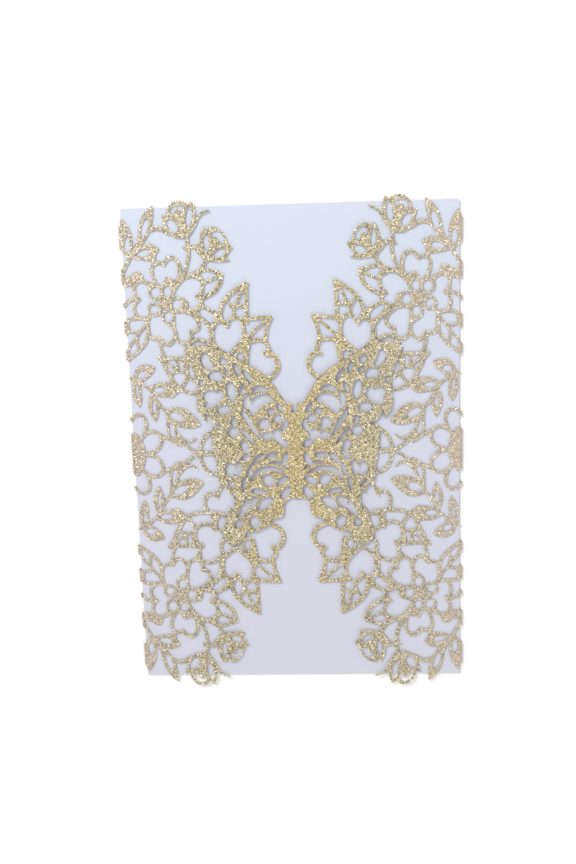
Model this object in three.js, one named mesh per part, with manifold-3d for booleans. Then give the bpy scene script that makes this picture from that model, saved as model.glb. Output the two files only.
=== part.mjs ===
// Laser-cut gatefold wrap for an invitation, closed by two interlocked butterflies, with a card lying inside it.
// Millimetres. X runs across the wrap, Y up it and Z out of its front. Z = 0 is the underside of the back panel.
// One quarter of the lace is drawn in u and v: u is the distance from the folded edge, v the height above
// the middle of the wrap. The other quarters are its mirror images.

import * as THREE from 'three';
import { mergeVertices } from 'three/addons/utils/BufferGeometryUtils.js';
import Module from 'manifold-3d';

const wasm = await Module();
wasm.setup();

// Driving sizes of the wrap and the card
const wrapWidth = 120;
const panelHeight = 174;
const sheetThickness = 0.35;
const cardWidth = 118;
const cardHeight = 175;
const cardThickness = 0.3;
const clearance = 0.3;

// The gates bow away from the card towards their free edges
const gateRise = 1.1;
const riseLength = 46;
const flatBesideFold = 0.6;

// Each butterfly has a slit through half of its body, and hooks into the slit of the other one
const slitHalfWidth = 0.9;
const slitMeetHeight = -2.6;
const slitEndGap = 0.4;
const slitReach = 25;
const crossingHalfWidth = 1.2;
const butterflyShift = [0.35, 0.25];

// The lace ends just inside the butterfly's outline, at this share of the butterfly's size
const coveredShare = 0.985;

// Levels that follow from the sizes above
const cardLevel = sheetThickness + clearance;
const gateLevel = cardLevel + cardThickness + clearance;
const layerPitch = sheetThickness + clearance;
const foldRadius = (gateLevel + sheetThickness) / 2;
const flatFrom = wrapWidth / 2 - foldRadius - flatBesideFold;

// How closely straight stretches follow the curves: the largest distance in a bar, and the smallest area
// that a corner covers in a curve and in the finished outlines. Openings under the smallest are left out.
const chordSlack = 0.09;
const curveCorner = 0.01;
const outlineCorner = 1.4;
const smallestOpening = 2.8;
const smallestHiddenOpening = 9;
const curveSteps = 6;
const ovalSides = 12;
const foldSteps = 4;
const jointOverlap = 0.1;

const lineWidth = 1.05;
const veinWidth = 0.85;

// Distance of a point from the line through two others
function distanceFromLine(point, from, to) {
  const alongX = to[0] - from[0];
  const alongY = to[1] - from[1];
  const length = Math.hypot(alongX, alongY);
  if (length === 0) return Math.hypot(point[0] - from[0], point[1] - from[1]);
  return Math.abs(alongX * (point[1] - from[1]) - alongY * (point[0] - from[0])) / length;
}

// Leaves out the points of an open path that lie within the slack of a straight stretch
function thinPath(points, slack) {
  if (points.length < 3) return points;
  let farthest = 0;
  let distance = 0;
  for (let index = 1; index < points.length - 1; index += 1) {
    const offset = distanceFromLine(points[index], points[0], points[points.length - 1]);
    if (offset > distance) {
      farthest = index;
      distance = offset;
    }
  }
  if (distance <= slack) return [points[0], points[points.length - 1]];
  const before = thinPath(points.slice(0, farthest + 1), slack);
  const after = thinPath(points.slice(farthest), slack);
  return before.concat(after.slice(1));
}

function turnArea(one, middle, other) {
  return ((middle[0] - one[0]) * (other[1] - one[1]) - (other[0] - one[0]) * (middle[1] - one[1])) / 2;
}

// Whether leaving out a corner would pass over one of the other points
function coversPoint(corner, points) {
  const [one, middle, other] = turnArea(...corner) > 0 ? corner : corner.slice().reverse();
  return points.some((point) => !corner.includes(point)
    && turnArea(one, middle, point) >= 0 && turnArea(middle, other, point) >= 0 && turnArea(other, one, point) >= 0);
}

// Leaves out the points of a closed outline whose corner covers less than the given area, smallest first,
// as long as the outline stays clear of the other points. Points of the folded edge stay as well.
function thinLoop(points, smallestCorner, others = []) {
  const kept = points.slice();
  const fixed = new Set(kept.filter(([x]) => x < foldRadius + jointOverlap - wrapWidth / 2));
  while (kept.length > 3) {
    let least = -1;
    let leastArea = smallestCorner;
    for (let index = 0; index < kept.length; index += 1) {
      if (fixed.has(kept[index])) continue;
      const [one, other] = [-1, 1].map((step) => kept[(index + step + kept.length) % kept.length]);
      const area = Math.abs(turnArea(one, kept[index], other));
      if (area < leastArea) {
        least = index;
        leastArea = area;
      }
    }
    if (least < 0) break;
    const corner = [-1, 0, 1].map((step) => kept[(least + step + kept.length) % kept.length]);
    if (coversPoint(corner, kept) || coversPoint(corner, others)) {
      fixed.add(kept[least]);
    } else {
      kept.splice(least, 1);
    }
  }
  return kept;
}

function outlineArea(loop) {
  return Math.abs(THREE.ShapeUtils.area(loop.map(([x, y]) => new THREE.Vector2(x, y))));
}

// Smooth path through a few points
function smoothPath(points) {
  if (points.length < 3) return points;
  const curve = new THREE.CatmullRomCurve3(
    points.map(([x, y]) => new THREE.Vector3(x, y, 0)), false, 'centripetal');
  const samples = curve.getPoints((points.length - 1) * curveSteps).map((point) => [point.x, point.y]);
  return thinPath(samples, chordSlack);
}

// Smooth closed outline through a few points
function smoothLoop(points) {
  const curve = new THREE.CatmullRomCurve3(
    points.map(([x, y]) => new THREE.Vector3(x, y, 0)), true, 'centripetal');
  const samples = curve.getPoints(points.length * curveSteps).map((point) => [point.x, point.y]);
  return thinLoop(samples.slice(0, -1), curveCorner);
}

// Closed outline with a corner wherever one span ends and the next begins
function corneredLoop(spans) {
  const outline = [];
  spans.forEach((span, index) => {
    const next = spans[(index + 1) % spans.length];
    outline.push(...smoothPath(span.concat([next[0]])).slice(0, -1));
  });
  return outline;
}

function ovalLoop([centreX, centreY], [radiusX, radiusY]) {
  const outline = [];
  for (let side = 0; side < ovalSides; side += 1) {
    const angle = (side + 0.5) * 2 * Math.PI / ovalSides;
    outline.push([centreX + radiusX * Math.cos(angle), centreY + radiusY * Math.sin(angle)]);
  }
  return outline;
}

// A three.js geometry as a solid that can be joined and cut
function toSolid(geometry) {
  const bare = geometry.clone();
  bare.deleteAttribute('normal');
  bare.deleteAttribute('uv');
  const merged = mergeVertices(bare, 1e-4);
  return new wasm.Manifold(new wasm.Mesh({
    numProp: 3,
    vertProperties: new Float32Array(merged.attributes.position.array),
    triVerts: new Uint32Array(merged.index.array),
  }));
}

function toGeometry(solid) {
  const mesh = solid.getMesh();
  const positions = [];
  for (let vertex = 0; vertex < mesh.numVert; vertex += 1) {
    positions.push(...mesh.vertProperties.slice(vertex * mesh.numProp, vertex * mesh.numProp + 3));
  }
  const geometry = new THREE.BufferGeometry();
  geometry.setAttribute('position', new THREE.Float32BufferAttribute(positions, 3));
  geometry.setIndex(Array.from(mesh.triVerts));
  return geometry;
}

// Flat sheet with the given outline and openings, lying on Z = 0
function sheetSolid(outline, openings = []) {
  const shape = new THREE.Shape(outline.map(([x, y]) => new THREE.Vector2(x, y)));
  shape.holes = openings.map((opening) => new THREE.Path(opening.map(([x, y]) => new THREE.Vector2(x, y))));
  return toSolid(new THREE.ExtrudeGeometry(shape, { depth: sheetThickness, bevelEnabled: false }));
}

function joinAll(solids) {
  return solids.reduce((joined, solid) => joined.add(solid));
}

// Solid leaf, bud or patch: spans of its outline, and smooth openings in it
function plate(spans, openings = []) {
  const whole = sheetSolid(corneredLoop(spans));
  return openings.reduce((cut, opening) => cut.subtract(sheetSolid(smoothLoop(opening))), whole);
}

function disc(centre, radius) {
  return sheetSolid(ovalLoop(centre, [radius, radius]));
}

function ring(centre, [radiusX, radiusY], width = lineWidth) {
  const outer = ovalLoop(centre, [radiusX + width / 2, radiusY + width / 2]);
  const inner = ovalLoop(centre, [radiusX - width / 2, radiusY - width / 2]);
  return sheetSolid(outer, [inner]);
}

// Bar of lace along a smooth path, which may taper to another width
function bar(points, width = lineWidth, endWidth = width) {
  const path = smoothPath(points);
  const last = path.length - 1;
  const direction = (from, to) => {
    const length = Math.hypot(to[0] - from[0], to[1] - from[1]);
    return [(to[0] - from[0]) / length, (to[1] - from[1]) / length];
  };
  const left = [];
  const right = [];
  path.forEach((point, index) => {
    const before = direction(path[Math.max(index - 1, 0)], path[Math.max(index, 1)]);
    const after = direction(path[Math.min(index, last - 1)], path[Math.min(index + 1, last)]);
    const sumX = before[0] + after[0];
    const sumY = before[1] + after[1];
    const sumLength = Math.hypot(sumX, sumY);
    const along = [sumX / sumLength, sumY / sumLength];
    const mitre = 1 / Math.max(along[0] * after[0] + along[1] * after[1], 0.7);
    const half = mitre * (width + (endWidth - width) * index / last) / 2;
    const cap = index === 0 ? -width / 4 : (index === last ? endWidth / 4 : 0);
    const centreX = point[0] + along[0] * cap;
    const centreY = point[1] + along[1] * cap;
    left.push([centreX - along[1] * half, centreY + along[0] * half]);
    right.unshift([centreX + along[1] * half, centreY - along[0] * half]);
  });
  return sheetSolid(left.concat(right));
}

// Leaves, arches and the half flower that stand on the folded edge
function foldedEdgeSprays() {
  return [
    plate([[[1.4, 85.2], [3.2, 82.8], [4.5, 79.8], [4.8, 76.8], [4.3, 73.8]],
      [[2.8, 71.4], [0.8, 73.8], [0.2, 77], [0.2, 81], [0.6, 83.6]]],
    [[[2, 73.9], [3.5, 73.6], [3.8, 76.5], [2.9, 78.6], [1.9, 77.2]]]),
    bar([[4.5, 73.6], [2.9, 70.1], [1.6, 68], [0.4, 65.4]], 1.2),
    plate([[[0, 64.6], [3.4, 64.9]], [[5, 66.2], [6.8, 66.2], [7.8, 64.9]],
      [[7.5, 63.6], [6.6, 62.7], [4.2, 61.6]], [[0, 61.2]]]),
    bar([[6.6, 63.2], [9.4, 62.4], [11.4, 61.2]]),
    bar([[0.2, 53.6], [1.8, 55.9], [4.8, 56.9]]),
    bar([[0, 48.4], [2.2, 49.5], [4.6, 49.9], [9, 49.8]]),
    plate([[[0, 48.8], [1.6, 48.6], [1.9, 46.4], [1.3, 44.6]], [[0, 43]]]),
    bar([[1.6, 45.4], [3.4, 44.9], [5.6, 45.1], [8.4, 48.6]], veinWidth),
    bar([[8.6, 48.2], [8.5, 45], [7.9, 42.2], [6.8, 40.2], [4.8, 38.2], [2.6, 36.4], [0.4, 34.8]]),
    bar([[5.6, 45.1], [4.4, 42.6], [4.5, 40.2], [5.2, 38.6]], veinWidth),
    bar([[4.6, 43.2], [2.6, 41.2], [1.2, 39], [0.9, 36.6], [1, 35]], veinWidth),
    plate([[[4.6, 27.2], [2.6, 27.8], [2.6, 30], [3.8, 32], [6, 33], [8.4, 32.9]],
      [[10.4, 32.3]], [[9.6, 30.4], [7.8, 28.6], [5.6, 27.2]]],
    [[[3.6, 28.3], [3.7, 29.6], [5.1, 30.9], [6.7, 30.6], [7.2, 29.4], [5.8, 28.2]]]),
    bar([[0.4, 28.4], [2.6, 27.8], [4.2, 27.6]], 1),
    plate([[[4.2, 28.2], [2.2, 28], [1.7, 25.6], [1.6, 22.6], [2.3, 19.6]],
      [[3.9, 17.4], [4.7, 19.6], [4.8, 23], [4.7, 25.8]]],
    [[[2.8, 26], [3.6, 25.8], [3.8, 23.4], [3.5, 21.4], [2.9, 21.4], [2.7, 23.6]]]),
    bar([[4.4, 27.4], [6.2, 25.4], [8.6, 23.8]], veinWidth),
    plate([[[8.6, 22.6], [7.3, 20], [7.1, 17.4], [7.9, 14.4]],
      [[9.3, 11.9], [10.2, 13.6], [10.8, 16], [10.9, 18.6], [10, 21]]],
    [[[9, 20.6], [9.8, 19], [9.9, 16.6], [9.4, 15], [8.8, 15.2], [8.4, 17.6]]]),
    bar([[10.3, 20], [11.4, 17.9], [13.8, 15.6]]),
    plate([[[0, 8], [2.2, 7.8], [3.4, 5.6], [4.6, 3.2], [5, 0]], [[5, -1]], [[0, -1]]]),
    bar([[0.2, 12], [1.6, 14.1], [3.6, 14.8], [5.4, 13.8], [6, 11.4], [5.5, 8.8], [4.2, 6.4], [3, 4.8]]),
    bar([[4.2, 6.4], [6, 8], [8.2, 8.4], [10.3, 7.6], [11.2, 5.4], [10.6, 3], [8.8, 1.2], [6.8, 0.4], [4.4, 0]]),
  ];
}

// Upright leaf, the large rosebud and the small one, with their stems
function rosebuds() {
  return [
    plate([[[4.2, 73.2], [5.4, 75.4], [6.6, 77.8], [7.1, 81], [8.3, 84.8], [10.2, 87.5]],
      [[12.7, 89.4], [12.6, 86.2], [12, 83], [11.1, 80.2], [9.2, 77.2], [6.8, 75]]],
    [[[8.2, 78.3], [8, 80.4], [8.7, 83], [10.2, 84.8], [10.9, 84], [10.6, 81.2], [9.6, 79.2]]]),
    bar([[10.9, 80.6], [12.6, 81.3], [15.2, 81.1], [17.6, 79.6]], 1.4),
    plate([[[24.2, 78], [21, 77.7], [18.4, 78.9], [16.8, 81.4]], [[15.5, 85.8]],
      [[17.3, 85.3], [17.6, 87.6], [19, 89.7], [21.2, 90.7], [23.4, 90.4]], [[25, 89.3]],
      [[26.5, 90.4], [27.4, 87.8], [27.2, 84.6], [26.2, 81.4]]],
    [[[18.6, 86.3], [19.1, 88.1], [20.6, 89.3], [22.4, 89.4], [23.6, 88.4], [22.9, 86.5], [22.1, 87.4],
      [21, 87.8], [20.3, 86.6], [19.6, 85.6]],
    [[17.1, 83.8], [18.6, 84.4], [20.3, 83.2], [21.2, 81.2], [20.7, 79.8], [19.2, 79.6], [17.8, 81.2]],
    [[24.7, 87.8], [25.8, 88.6], [26.3, 86.4], [26.1, 83.6], [25.2, 81.7], [24.4, 81.4], [23.8, 83],
      [24, 85.6]]]),
    bar([[24.8, 79.2], [26.8, 82], [28.2, 84.6], [29.8, 86.2], [32.3, 87]], 1.3, 0.6),
    bar([[24.2, 78.8], [24.2, 76], [24.5, 73.6], [24.3, 71], [23.5, 68], [22.4, 65.4], [21.6, 64]]),
    bar([[24.4, 74], [23, 74.2]], veinWidth),
    plate([[[30.6, 69.6], [28.9, 73.2], [28.6, 76.2], [29.2, 79.2]], [[30.3, 81.5]],
      [[31.2, 80.6], [33.2, 81.3], [35.4, 80.6], [37.3, 78.6], [38.3, 76]], [[38.7, 74.9]], [[40.1, 74.3]],
      [[38.6, 72.4], [37.5, 70.6]], [[39.2, 69.5]], [[36, 69.1], [33, 69.3]]],
    [[[31, 79.4], [31.7, 77], [31.9, 74.4], [31.3, 72.7], [30.4, 73.4], [29.8, 75.4], [29.9, 77.8]],
      [[32.8, 79.3], [34.8, 80], [36.4, 78.8], [37.3, 76.9], [37.2, 75.8], [35.6, 75.5], [35.2, 76.9],
        [34.1, 77.9], [33.2, 77.1]],
      [[33.1, 71.8], [34.6, 73.3], [36.9, 73.9], [37.8, 73.2], [37, 71.6], [35.6, 70.6], [33.8, 70.7]]]),
    bar([[24.6, 75], [26.6, 74.4], [28.6, 72.4], [30.4, 69.8]]),
    plate([[[26.4, 74.8], [28.4, 75.4]], [[29.4, 72.2], [28.2, 71.8]]]),
    bar([[30.6, 69.8], [29.2, 67.8], [27.8, 66], [25.2, 64.9], [21.4, 64.6]], 1.15),
  ];
}

// Flower of five heart-shaped petals, and the leaves beside it
function largeFlower() {
  return [
    plate([[[4.4, 73.6], [7, 75.2], [10, 76], [12.4, 75.5]], [[14.1, 74.2]], [[12.8, 72.3], [12.1, 70.4]],
      [[8.5, 70.4], [4.6, 71.3]]],
    [[[5.6, 72.2], [7.6, 73.8], [9.9, 74.3], [10.9, 73.3], [10.2, 72], [8, 71.5]]]),
    bar([[11.9, 71], [12.3, 69]]),
    disc([15.7, 54.9], 2.1),
    ring([12, 59], [2.2, 2.5], veinWidth),
    ring([16.3, 59.2], [2, 2.4], veinWidth),
    ring([19.4, 54.4], [2.2, 2.5], veinWidth),
    ring([16.1, 50.2], [2, 2.4], veinWidth),
    ring([11.3, 52.9], [2.2, 2], veinWidth),
    bar([[12.6, 56.8], [14.5, 55.6]], veinWidth),
    bar([[13, 53.6], [14.5, 54.4]], veinWidth),
    plate([[[14.8, 61.4], [15.4, 63.2], [16.4, 64.2], [17.6, 63.5], [18.9, 63.5], [18.8, 61.4]], [[16.6, 61.6]]]),
    plate([[[21.2, 56.8], [22.8, 56.1], [23.4, 54.2], [22.8, 52.2], [21.2, 52.1]], [[21.8, 54.5]]]),
    plate([[[14.8, 48.2], [16.2, 46.8], [17.9, 46.3], [18.4, 48.6]], [[16.2, 48]]]),
    bar([[13.6, 60.8], [12.2, 62.6], [11.2, 65.2], [11.2, 67.8], [12.6, 69.3], [15.5, 68.9]]),
    bar([[15.3, 68.7], [16.9, 70.7], [18.8, 71], [20.5, 69.5], [21, 67], [20.6, 64.2], [19.2, 61], [18, 58.6]], 1.15),
    bar([[18.5, 59.4], [20.4, 62], [22.6, 63.9], [25.4, 64.4], [27.8, 63.4]]),
    bar([[27.3, 65.4], [28.6, 63.2], [28.9, 61], [28.3, 58.6], [26.6, 57]]),
    bar([[26.6, 57], [28.1, 56], [28.2, 54.2], [26.4, 52.9], [23.2, 52.3]]),
    bar([[18.2, 52], [21.4, 52.2], [24.6, 50.8], [26.7, 48.2], [26.4, 45.6], [23.9, 44.4]]),
    bar([[23.9, 44.6], [24, 42.6], [22.6, 40.9], [20.7, 40.7], [18.9, 42], [18.3, 43.4]]),
    bar([[17.3, 47.4], [18.2, 45.4], [18.4, 43.2]]),
    bar([[18.4, 43.4], [17.2, 41.4], [15.4, 40.2], [13.8, 41], [12.8, 42.6]]),
    bar([[12.8, 42.4], [11, 42.4], [9.3, 43], [8.6, 45.4], [8.5, 48.2], [9.5, 50.8]]),
    bar([[10.3, 61.2], [8.2, 63], [6, 62.9], [4.6, 61.4], [4.6, 58.6], [6, 56.6]]),
    bar([[6, 56.6], [4.4, 55], [4.1, 52.6], [5.2, 50.5], [7.2, 49.7], [9, 50]]),
    bar([[26.6, 65.7], [29.6, 66.5], [32.6, 66], [35.7, 64.7]]),
    bar([[35.6, 64.9], [35, 61.8], [33.2, 59.2], [30.6, 57.5], [27.7, 56.3]], 1.25),
    bar([[28.8, 61.9], [31.6, 62.8], [35.2, 64.5]], veinWidth),
    plate([[[25, 51.9], [27.8, 54.4], [30.6, 52.9], [33.6, 51.6], [35.2, 49.4]],
      [[33.4, 47.2], [31, 45.4]], [[28.6, 47.9], [26.4, 49.6]]],
    [[[26.9, 52], [28.4, 53], [30.4, 52], [32.3, 50.2], [32.7, 48.4], [31.4, 47.4], [29.3, 49]]]),
  ];
}

// Pointed leaf, heart petals and veined leaf along the free edge of the gate
function freeEdgeSprays() {
  return [
    bar([[44.5, 61.5], [41.6, 60], [38.8, 58], [36.4, 55.6], [35, 52.6], [34.8, 49.9], [36.6, 46.6]], 1.2),
    bar([[44.2, 61.4], [44.2, 57], [44.1, 53], [44, 47.6]]),
    plate([[[44.7, 62]], [[42.2, 59.6], [44.4, 58.8]]]),
    bar([[36.7, 56.2], [38.2, 54.2], [39.3, 52], [39.4, 49.4]], veinWidth),
    bar([[42.9, 59.6], [41.3, 56.2], [39.7, 52.6]], veinWidth),
    bar([[39.8, 53.2], [42, 53.5], [44.2, 53.4]], veinWidth),
    bar([[36.9, 46.4], [35.6, 47.8], [33.6, 48.1], [32, 46.4], [31.4, 43.4], [31.8, 40.4], [33.8, 38.2], [36.8, 36]]),
    bar([[36.9, 46.4], [38, 48.8], [40, 49.6], [41.9, 48.4], [42.8, 45.6], [42.7, 42.6], [41.4, 40.2], [39.2, 38.2],
      [37, 36]]),
    bar([[31.8, 47], [31.2, 44], [31.4, 40.4]], 1.7),
    disc([43.4, 48.4], 1.2),
    bar([[43.9, 48.6], [47, 49], [50, 49.3], [52.7, 49.1]]),
    bar([[52.6, 49.3], [51.6, 47], [50.8, 44.4], [50.3, 41]]),
    bar([[44.2, 42], [47.2, 45.2], [52, 48.8]], veinWidth),
    bar([[43.4, 40.2], [45.6, 41], [48, 41.3], [50, 40.8], [51.2, 39.2], [51.4, 37.4], [50.4, 36.1]], 1.15),
    bar([[50.2, 36.2], [52.6, 35.9], [54.2, 33.8], [54.4, 31], [53, 28.7], [50.6, 27.4], [48.6, 26.6]], 1.4),
    plate([[[39.4, 38.6], [41.2, 40.2], [43.6, 43.6]], [[45, 41], [44.6, 38.6], [44.2, 36], [43.2, 32]],
      [[42, 33.4], [42.4, 35.8], [40.8, 37.8]]]),
    bar([[22, 39.2], [23.6, 41], [26.4, 41.8], [29.4, 40.6], [31.6, 38.6], [31.2, 36], [31.9, 33.4], [34, 31]]),
    bar([[23, 40.8], [23.2, 38.4], [23.2, 36.2], [24.4, 34.9]], 1.15),
    bar([[24.4, 35.1], [22.6, 34.2], [21.8, 32.2], [21.7, 30], [22.9, 27.8], [25.2, 26.9], [27.6, 27.2], [29, 28.6]]),
    bar([[28.7, 28.4], [28.9, 26], [28.9, 22.8]], 1.5),
    ring([32.4, 26.6], [2.8, 3.3]),
    ring([41.3, 35], [2, 2.6], veinWidth),
  ];
}

// Leaf sprays between the folded edge and the butterfly
function innerSprays() {
  return [
    bar([[12.8, 42.2], [12.8, 39.8], [13.3, 37.6], [14.2, 35.2]]),
    bar([[11.9, 35.3], [14.5, 35.2], [18, 35.2], [21.9, 35.4]]),
    bar([[12, 35.6], [13.6, 33.2], [14.9, 30.2], [16.4, 27.6], [17.6, 25.2]], 1.2),
    bar([[13.8, 34.4], [16.4, 32.3], [19.2, 30.4]], veinWidth),
    bar([[18.4, 35], [18.5, 31]], veinWidth),
    bar([[15.6, 29], [17.4, 30.2], [19.4, 30.4], [21.8, 29.8]], veinWidth),
    bar([[21.7, 35.2], [20.8, 33.6], [21.3, 31.4], [21.9, 29.2], [21.2, 26.8], [19.4, 24.6]]),
    plate([[[7.4, 24], [9.2, 25.6], [12, 26.5], [14.8, 26.4]], [[16.2, 27.4], [18, 25.6], [19.8, 24.2]],
      [[17.8, 22.4], [16, 21], [13.6, 21.2], [10.6, 21.6], [8.4, 22.6]]],
    [[[8.7, 23.9], [10.2, 24.9], [12.2, 24.9], [13.9, 24], [12.8, 22.8], [10.4, 22.7]]]),
    bar([[18.8, 24.2], [21, 23], [24, 22.4], [28, 22.4], [32, 22.9]]),
    bar([[27, 22.4], [26.2, 20.4], [25.9, 18.4], [26.5, 16.2], [28.2, 15.2], [30.6, 15.3]]),
    bar([[30.5, 16.4], [31.2, 14.4], [32.3, 12.4], [32.6, 9]]),
    plate([[[13.2, 15.9], [15.6, 17], [18.4, 17.2], [21, 16.2], [23.6, 13.8]],
      [[26, 10.9], [24, 9.9], [21.2, 9.6], [18.2, 10.2], [15.6, 11.4], [13.6, 12.8]]],
    [[[14.3, 14.6], [15.6, 15.7], [17.8, 15.3], [19.7, 13.6], [19.6, 12.2], [17.8, 11.9], [15.6, 12.9]]]),
    bar([[14, 13.4], [13.8, 10.4], [14, 7.4], [14.8, 5]], veinWidth),
    bar([[15.3, 12.2], [16.2, 9.6], [17.2, 6.4]], veinWidth),
    plate([[[14.2, 5.8], [15.6, 4]], [[17.8, 2.7], [19.4, 4.6], [18.6, 6.4], [17.2, 7.6], [16, 6]]]),
    bar([[17.8, 5.8], [19.8, 4.8], [22, 4.5], [23.9, 5.8]], lineWidth, 0.5),
    bar([[18.6, 4.6], [20.8, 2.4], [23.2, 0.8], [25.2, 0]]),
    bar([[11, 7], [12.6, 6.2], [14.6, 5.6]]),
    bar([[25.2, 0], [25.5, 3], [26.9, 5.8], [28.9, 7.5], [31.6, 8.2]], 1.15),
    bar([[24.4, 0], [31.5, 0]], 1.5),
  ];
}

// Half of the butterfly, in x from the middle of its body and y from the middle of the wrap
const halfButterflyOutline = [
  [[0, 13.5]], [[1, 13.5]], [[1.05, 17]], [[2.4, 17]],
  [[3, 16.4], [5.6, 20.6], [8.6, 25.2], [12, 28.4], [17, 31.6], [22, 34.4], [26.5, 36.8], [31, 38.2], [35.5, 38.3]],
  [[38.7, 36.8], [37.6, 33], [36, 29.6], [35, 26], [34.6, 21.5], [35.1, 17.4], [34.6, 14], [32.4, 11.2]],
  [[29.6, 9.2], [30.2, 6], [30.1, 2], [29.6, -2], [28.8, -6], [28.5, -9.6]],
  [[28.2, -11.6], [26.2, -13.6], [24.6, -16.4], [24.2, -19.4], [24.9, -22.6], [26, -26], [27.3, -30], [27.6, -32.6],
    [26.8, -34.8], [24.4, -36.2], [21.6, -35.2], [19.8, -32.8]],
  [[19, -31.2], [15.6, -31], [12.8, -29.8]],
  [[10.4, -28.2]], [[10.2, -26.8], [8, -26], [5.8, -25.4], [4.9, -23.2], [4.9, -21], [4, -19.4]],
  [[1.8, -18.2]], [[0, -18.8]],
];

const wingOpenings = [
  [[3.7, 13.6], [4.2, 16], [5.7, 17.6], [6.1, 16.8], [5.2, 15.2], [4.6, 13.8]],
  [[7.5, 18.1], [9, 19.9], [11.6, 19.7], [14.3, 17.5], [15.7, 14.1], [15.2, 12.7], [13.6, 12.9], [12.3, 15.1],
    [10.3, 16.7], [8.2, 17]],
  [[9.3, 21.6], [11.3, 23.1], [14.5, 21.8], [14.4, 20.5], [12.3, 21.3]],
  [[15.9, 20.6], [17.1, 19.8], [17.8, 17.7], [17.4, 15.4], [16.8, 15.8], [16.3, 18.1]],
  [[17.4, 28.1], [15.6, 26.6], [14.8, 23.9], [15.5, 23.5], [16.3, 25.7], [17.6, 27.4]],
  [[18.4, 27.8], [20.1, 27.6], [20.1, 25.5], [19.5, 24.7], [18.8, 25.9]],
  [[20.9, 23.8], [23.7, 24], [23.4, 21.5], [22.2, 19], [20.6, 19.1], [20.7, 21.5]],
  [[26.2, 27.6], [28.6, 28], [30.5, 27.1], [30.3, 25.7], [28.2, 25.4], [26.6, 24.8], [25.9, 25.7]],
  [[28, 21.2], [30, 21.6], [32.1, 21.4], [32.4, 20.1], [30.8, 19.3], [28.9, 19.8]],
  [[25.4, 21.3], [26.4, 21.5], [27.6, 19.4], [29, 17.7], [31, 17.1], [31.7, 15.9], [29.8, 15.6], [28, 16.9],
    [26.1, 18.3]],
  [[22.9, 14.7], [24.2, 16.2], [26.2, 16.3], [27.7, 14.9], [26.6, 13.3], [24.2, 13.1]],
  [[20.2, 6.4], [21.4, 8], [23.2, 7.8], [24, 6.2], [22.8, 4.7], [21, 4.8]],
  [[19.4, 13.8], [18.7, 11.3], [16.8, 7.9], [14.2, 4.8], [13.3, 4.2], [14.8, 6.5], [16.5, 9.2], [18.1, 11.9]],
  [[19.5, 7.4], [18, 5.1], [15.4, 2.4], [14.6, 2.1], [16.1, 4.4], [18.1, 6.8]],
  [[18.6, 2.8], [19.8, 1.9], [19.5, 0.5], [17.9, 0.5], [17.4, 1.4]],
  [[4.2, 10.8], [5.2, 12.2], [7, 12.2], [7.9, 10.8], [7, 9.4], [5.2, 9.4]],
  [[9.9, 12.2], [12, 11], [13.1, 9.7], [12.5, 7.9], [10, 7.3], [8.6, 7.8], [9.7, 9.8]],
  [[5.4, 6.7], [7.8, 6.1], [7.7, 4], [5.4, 4], [5, 5.2]],
  [[9, 6.1], [11.5, 6.5], [10.4, 4.1], [9, 4]],
  [[3.5, 3.2], [5, 3], [6.3, 2.4], [4.6, 1], [3.5, 0.9]],
  [[27.5, 33.8], [29.8, 34.4], [30.5, 32.7], [29.7, 30.2], [27.5, 30], [27.1, 31.9]],
  [[16, -0.6], [17.3, -0.8], [19.5, -2.1], [19.7, -3], [18.7, -4], [17.1, -2.6]],
  [[20.4, -5], [21.3, -4.9], [21.9, -7.1], [21.4, -10.4], [20.7, -10], [20.1, -7.5]],
  [[23.1, -5.9], [25.3, -6], [25.3, -7.7], [25.7, -9.4], [23.7, -10.5], [23, -10.2], [23.3, -8.1]],
  [[15.9, -4.9], [17, -6.4], [17.8, -9.2], [17.3, -9.7], [16.5, -7.3]],
  [[8.8, -10.9], [10.5, -9.8], [12.3, -10.3], [12.8, -11.5], [11.5, -13], [9.9, -14.3], [8.8, -14], [8.6, -12.5]],
  [[5.2, -9], [7.4, -7.6], [11, -6.9], [14.2, -7.7], [16, -9.6], [16.6, -11.5], [15, -9.9], [13, -8.5],
    [10.2, -7.8], [7.6, -8.3]],
  [[3.5, -2.4], [4.7, -3.9], [3.5, -5.5]],
  [[6, -2.1], [9.4, -2], [10.7, -3.8], [8.6, -3.6], [7, -3.9]],
  [[11, -2.2], [12.8, -2.4], [14.2, -4.1], [14.3, -5.2], [12.5, -4.3]],
  [[3.6, -10.9], [5.2, -10.7], [7, -12.1], [7.1, -14.1], [5.9, -13.7], [4.3, -12.5]],
  [[2.8, -15], [4.3, -15.7], [6.1, -17], [5.5, -19.1], [3.8, -18.3], [2.4, -17.5]],
  [[11.1, -16.3], [12.8, -15.5], [16.4, -15.8], [15, -16.9], [12.4, -17.1]],
  [[9.2, -18.3], [13, -18.5], [14.2, -20.4], [15.1, -22.6], [13.8, -23.6], [11.6, -22.8], [9.4, -22]],
  [[14.7, -18.6], [16.4, -18.2], [17.5, -20.4], [17.9, -22.5], [16.3, -22.9], [15.5, -20.8]],
  [[20.2, -20.6], [21.4, -22.8], [22.6, -25.3], [21, -25.8], [19.9, -24]],
  [[21.5, -27.2], [23.5, -27.4], [23.5, -29.3], [21.5, -29.4]],
  [[14.4, -28.3], [16.4, -26.2], [18.1, -26.4], [18.5, -29.7], [16.6, -30]],
];

// Mirrored and shifted copy of an outline
function placeLoop(loop, scaleX, scaleY, shiftX = 0, shiftY = 0) {
  return loop.map(([x, y]) => [scaleX * x + shiftX, scaleY * y + shiftY]);
}

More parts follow.
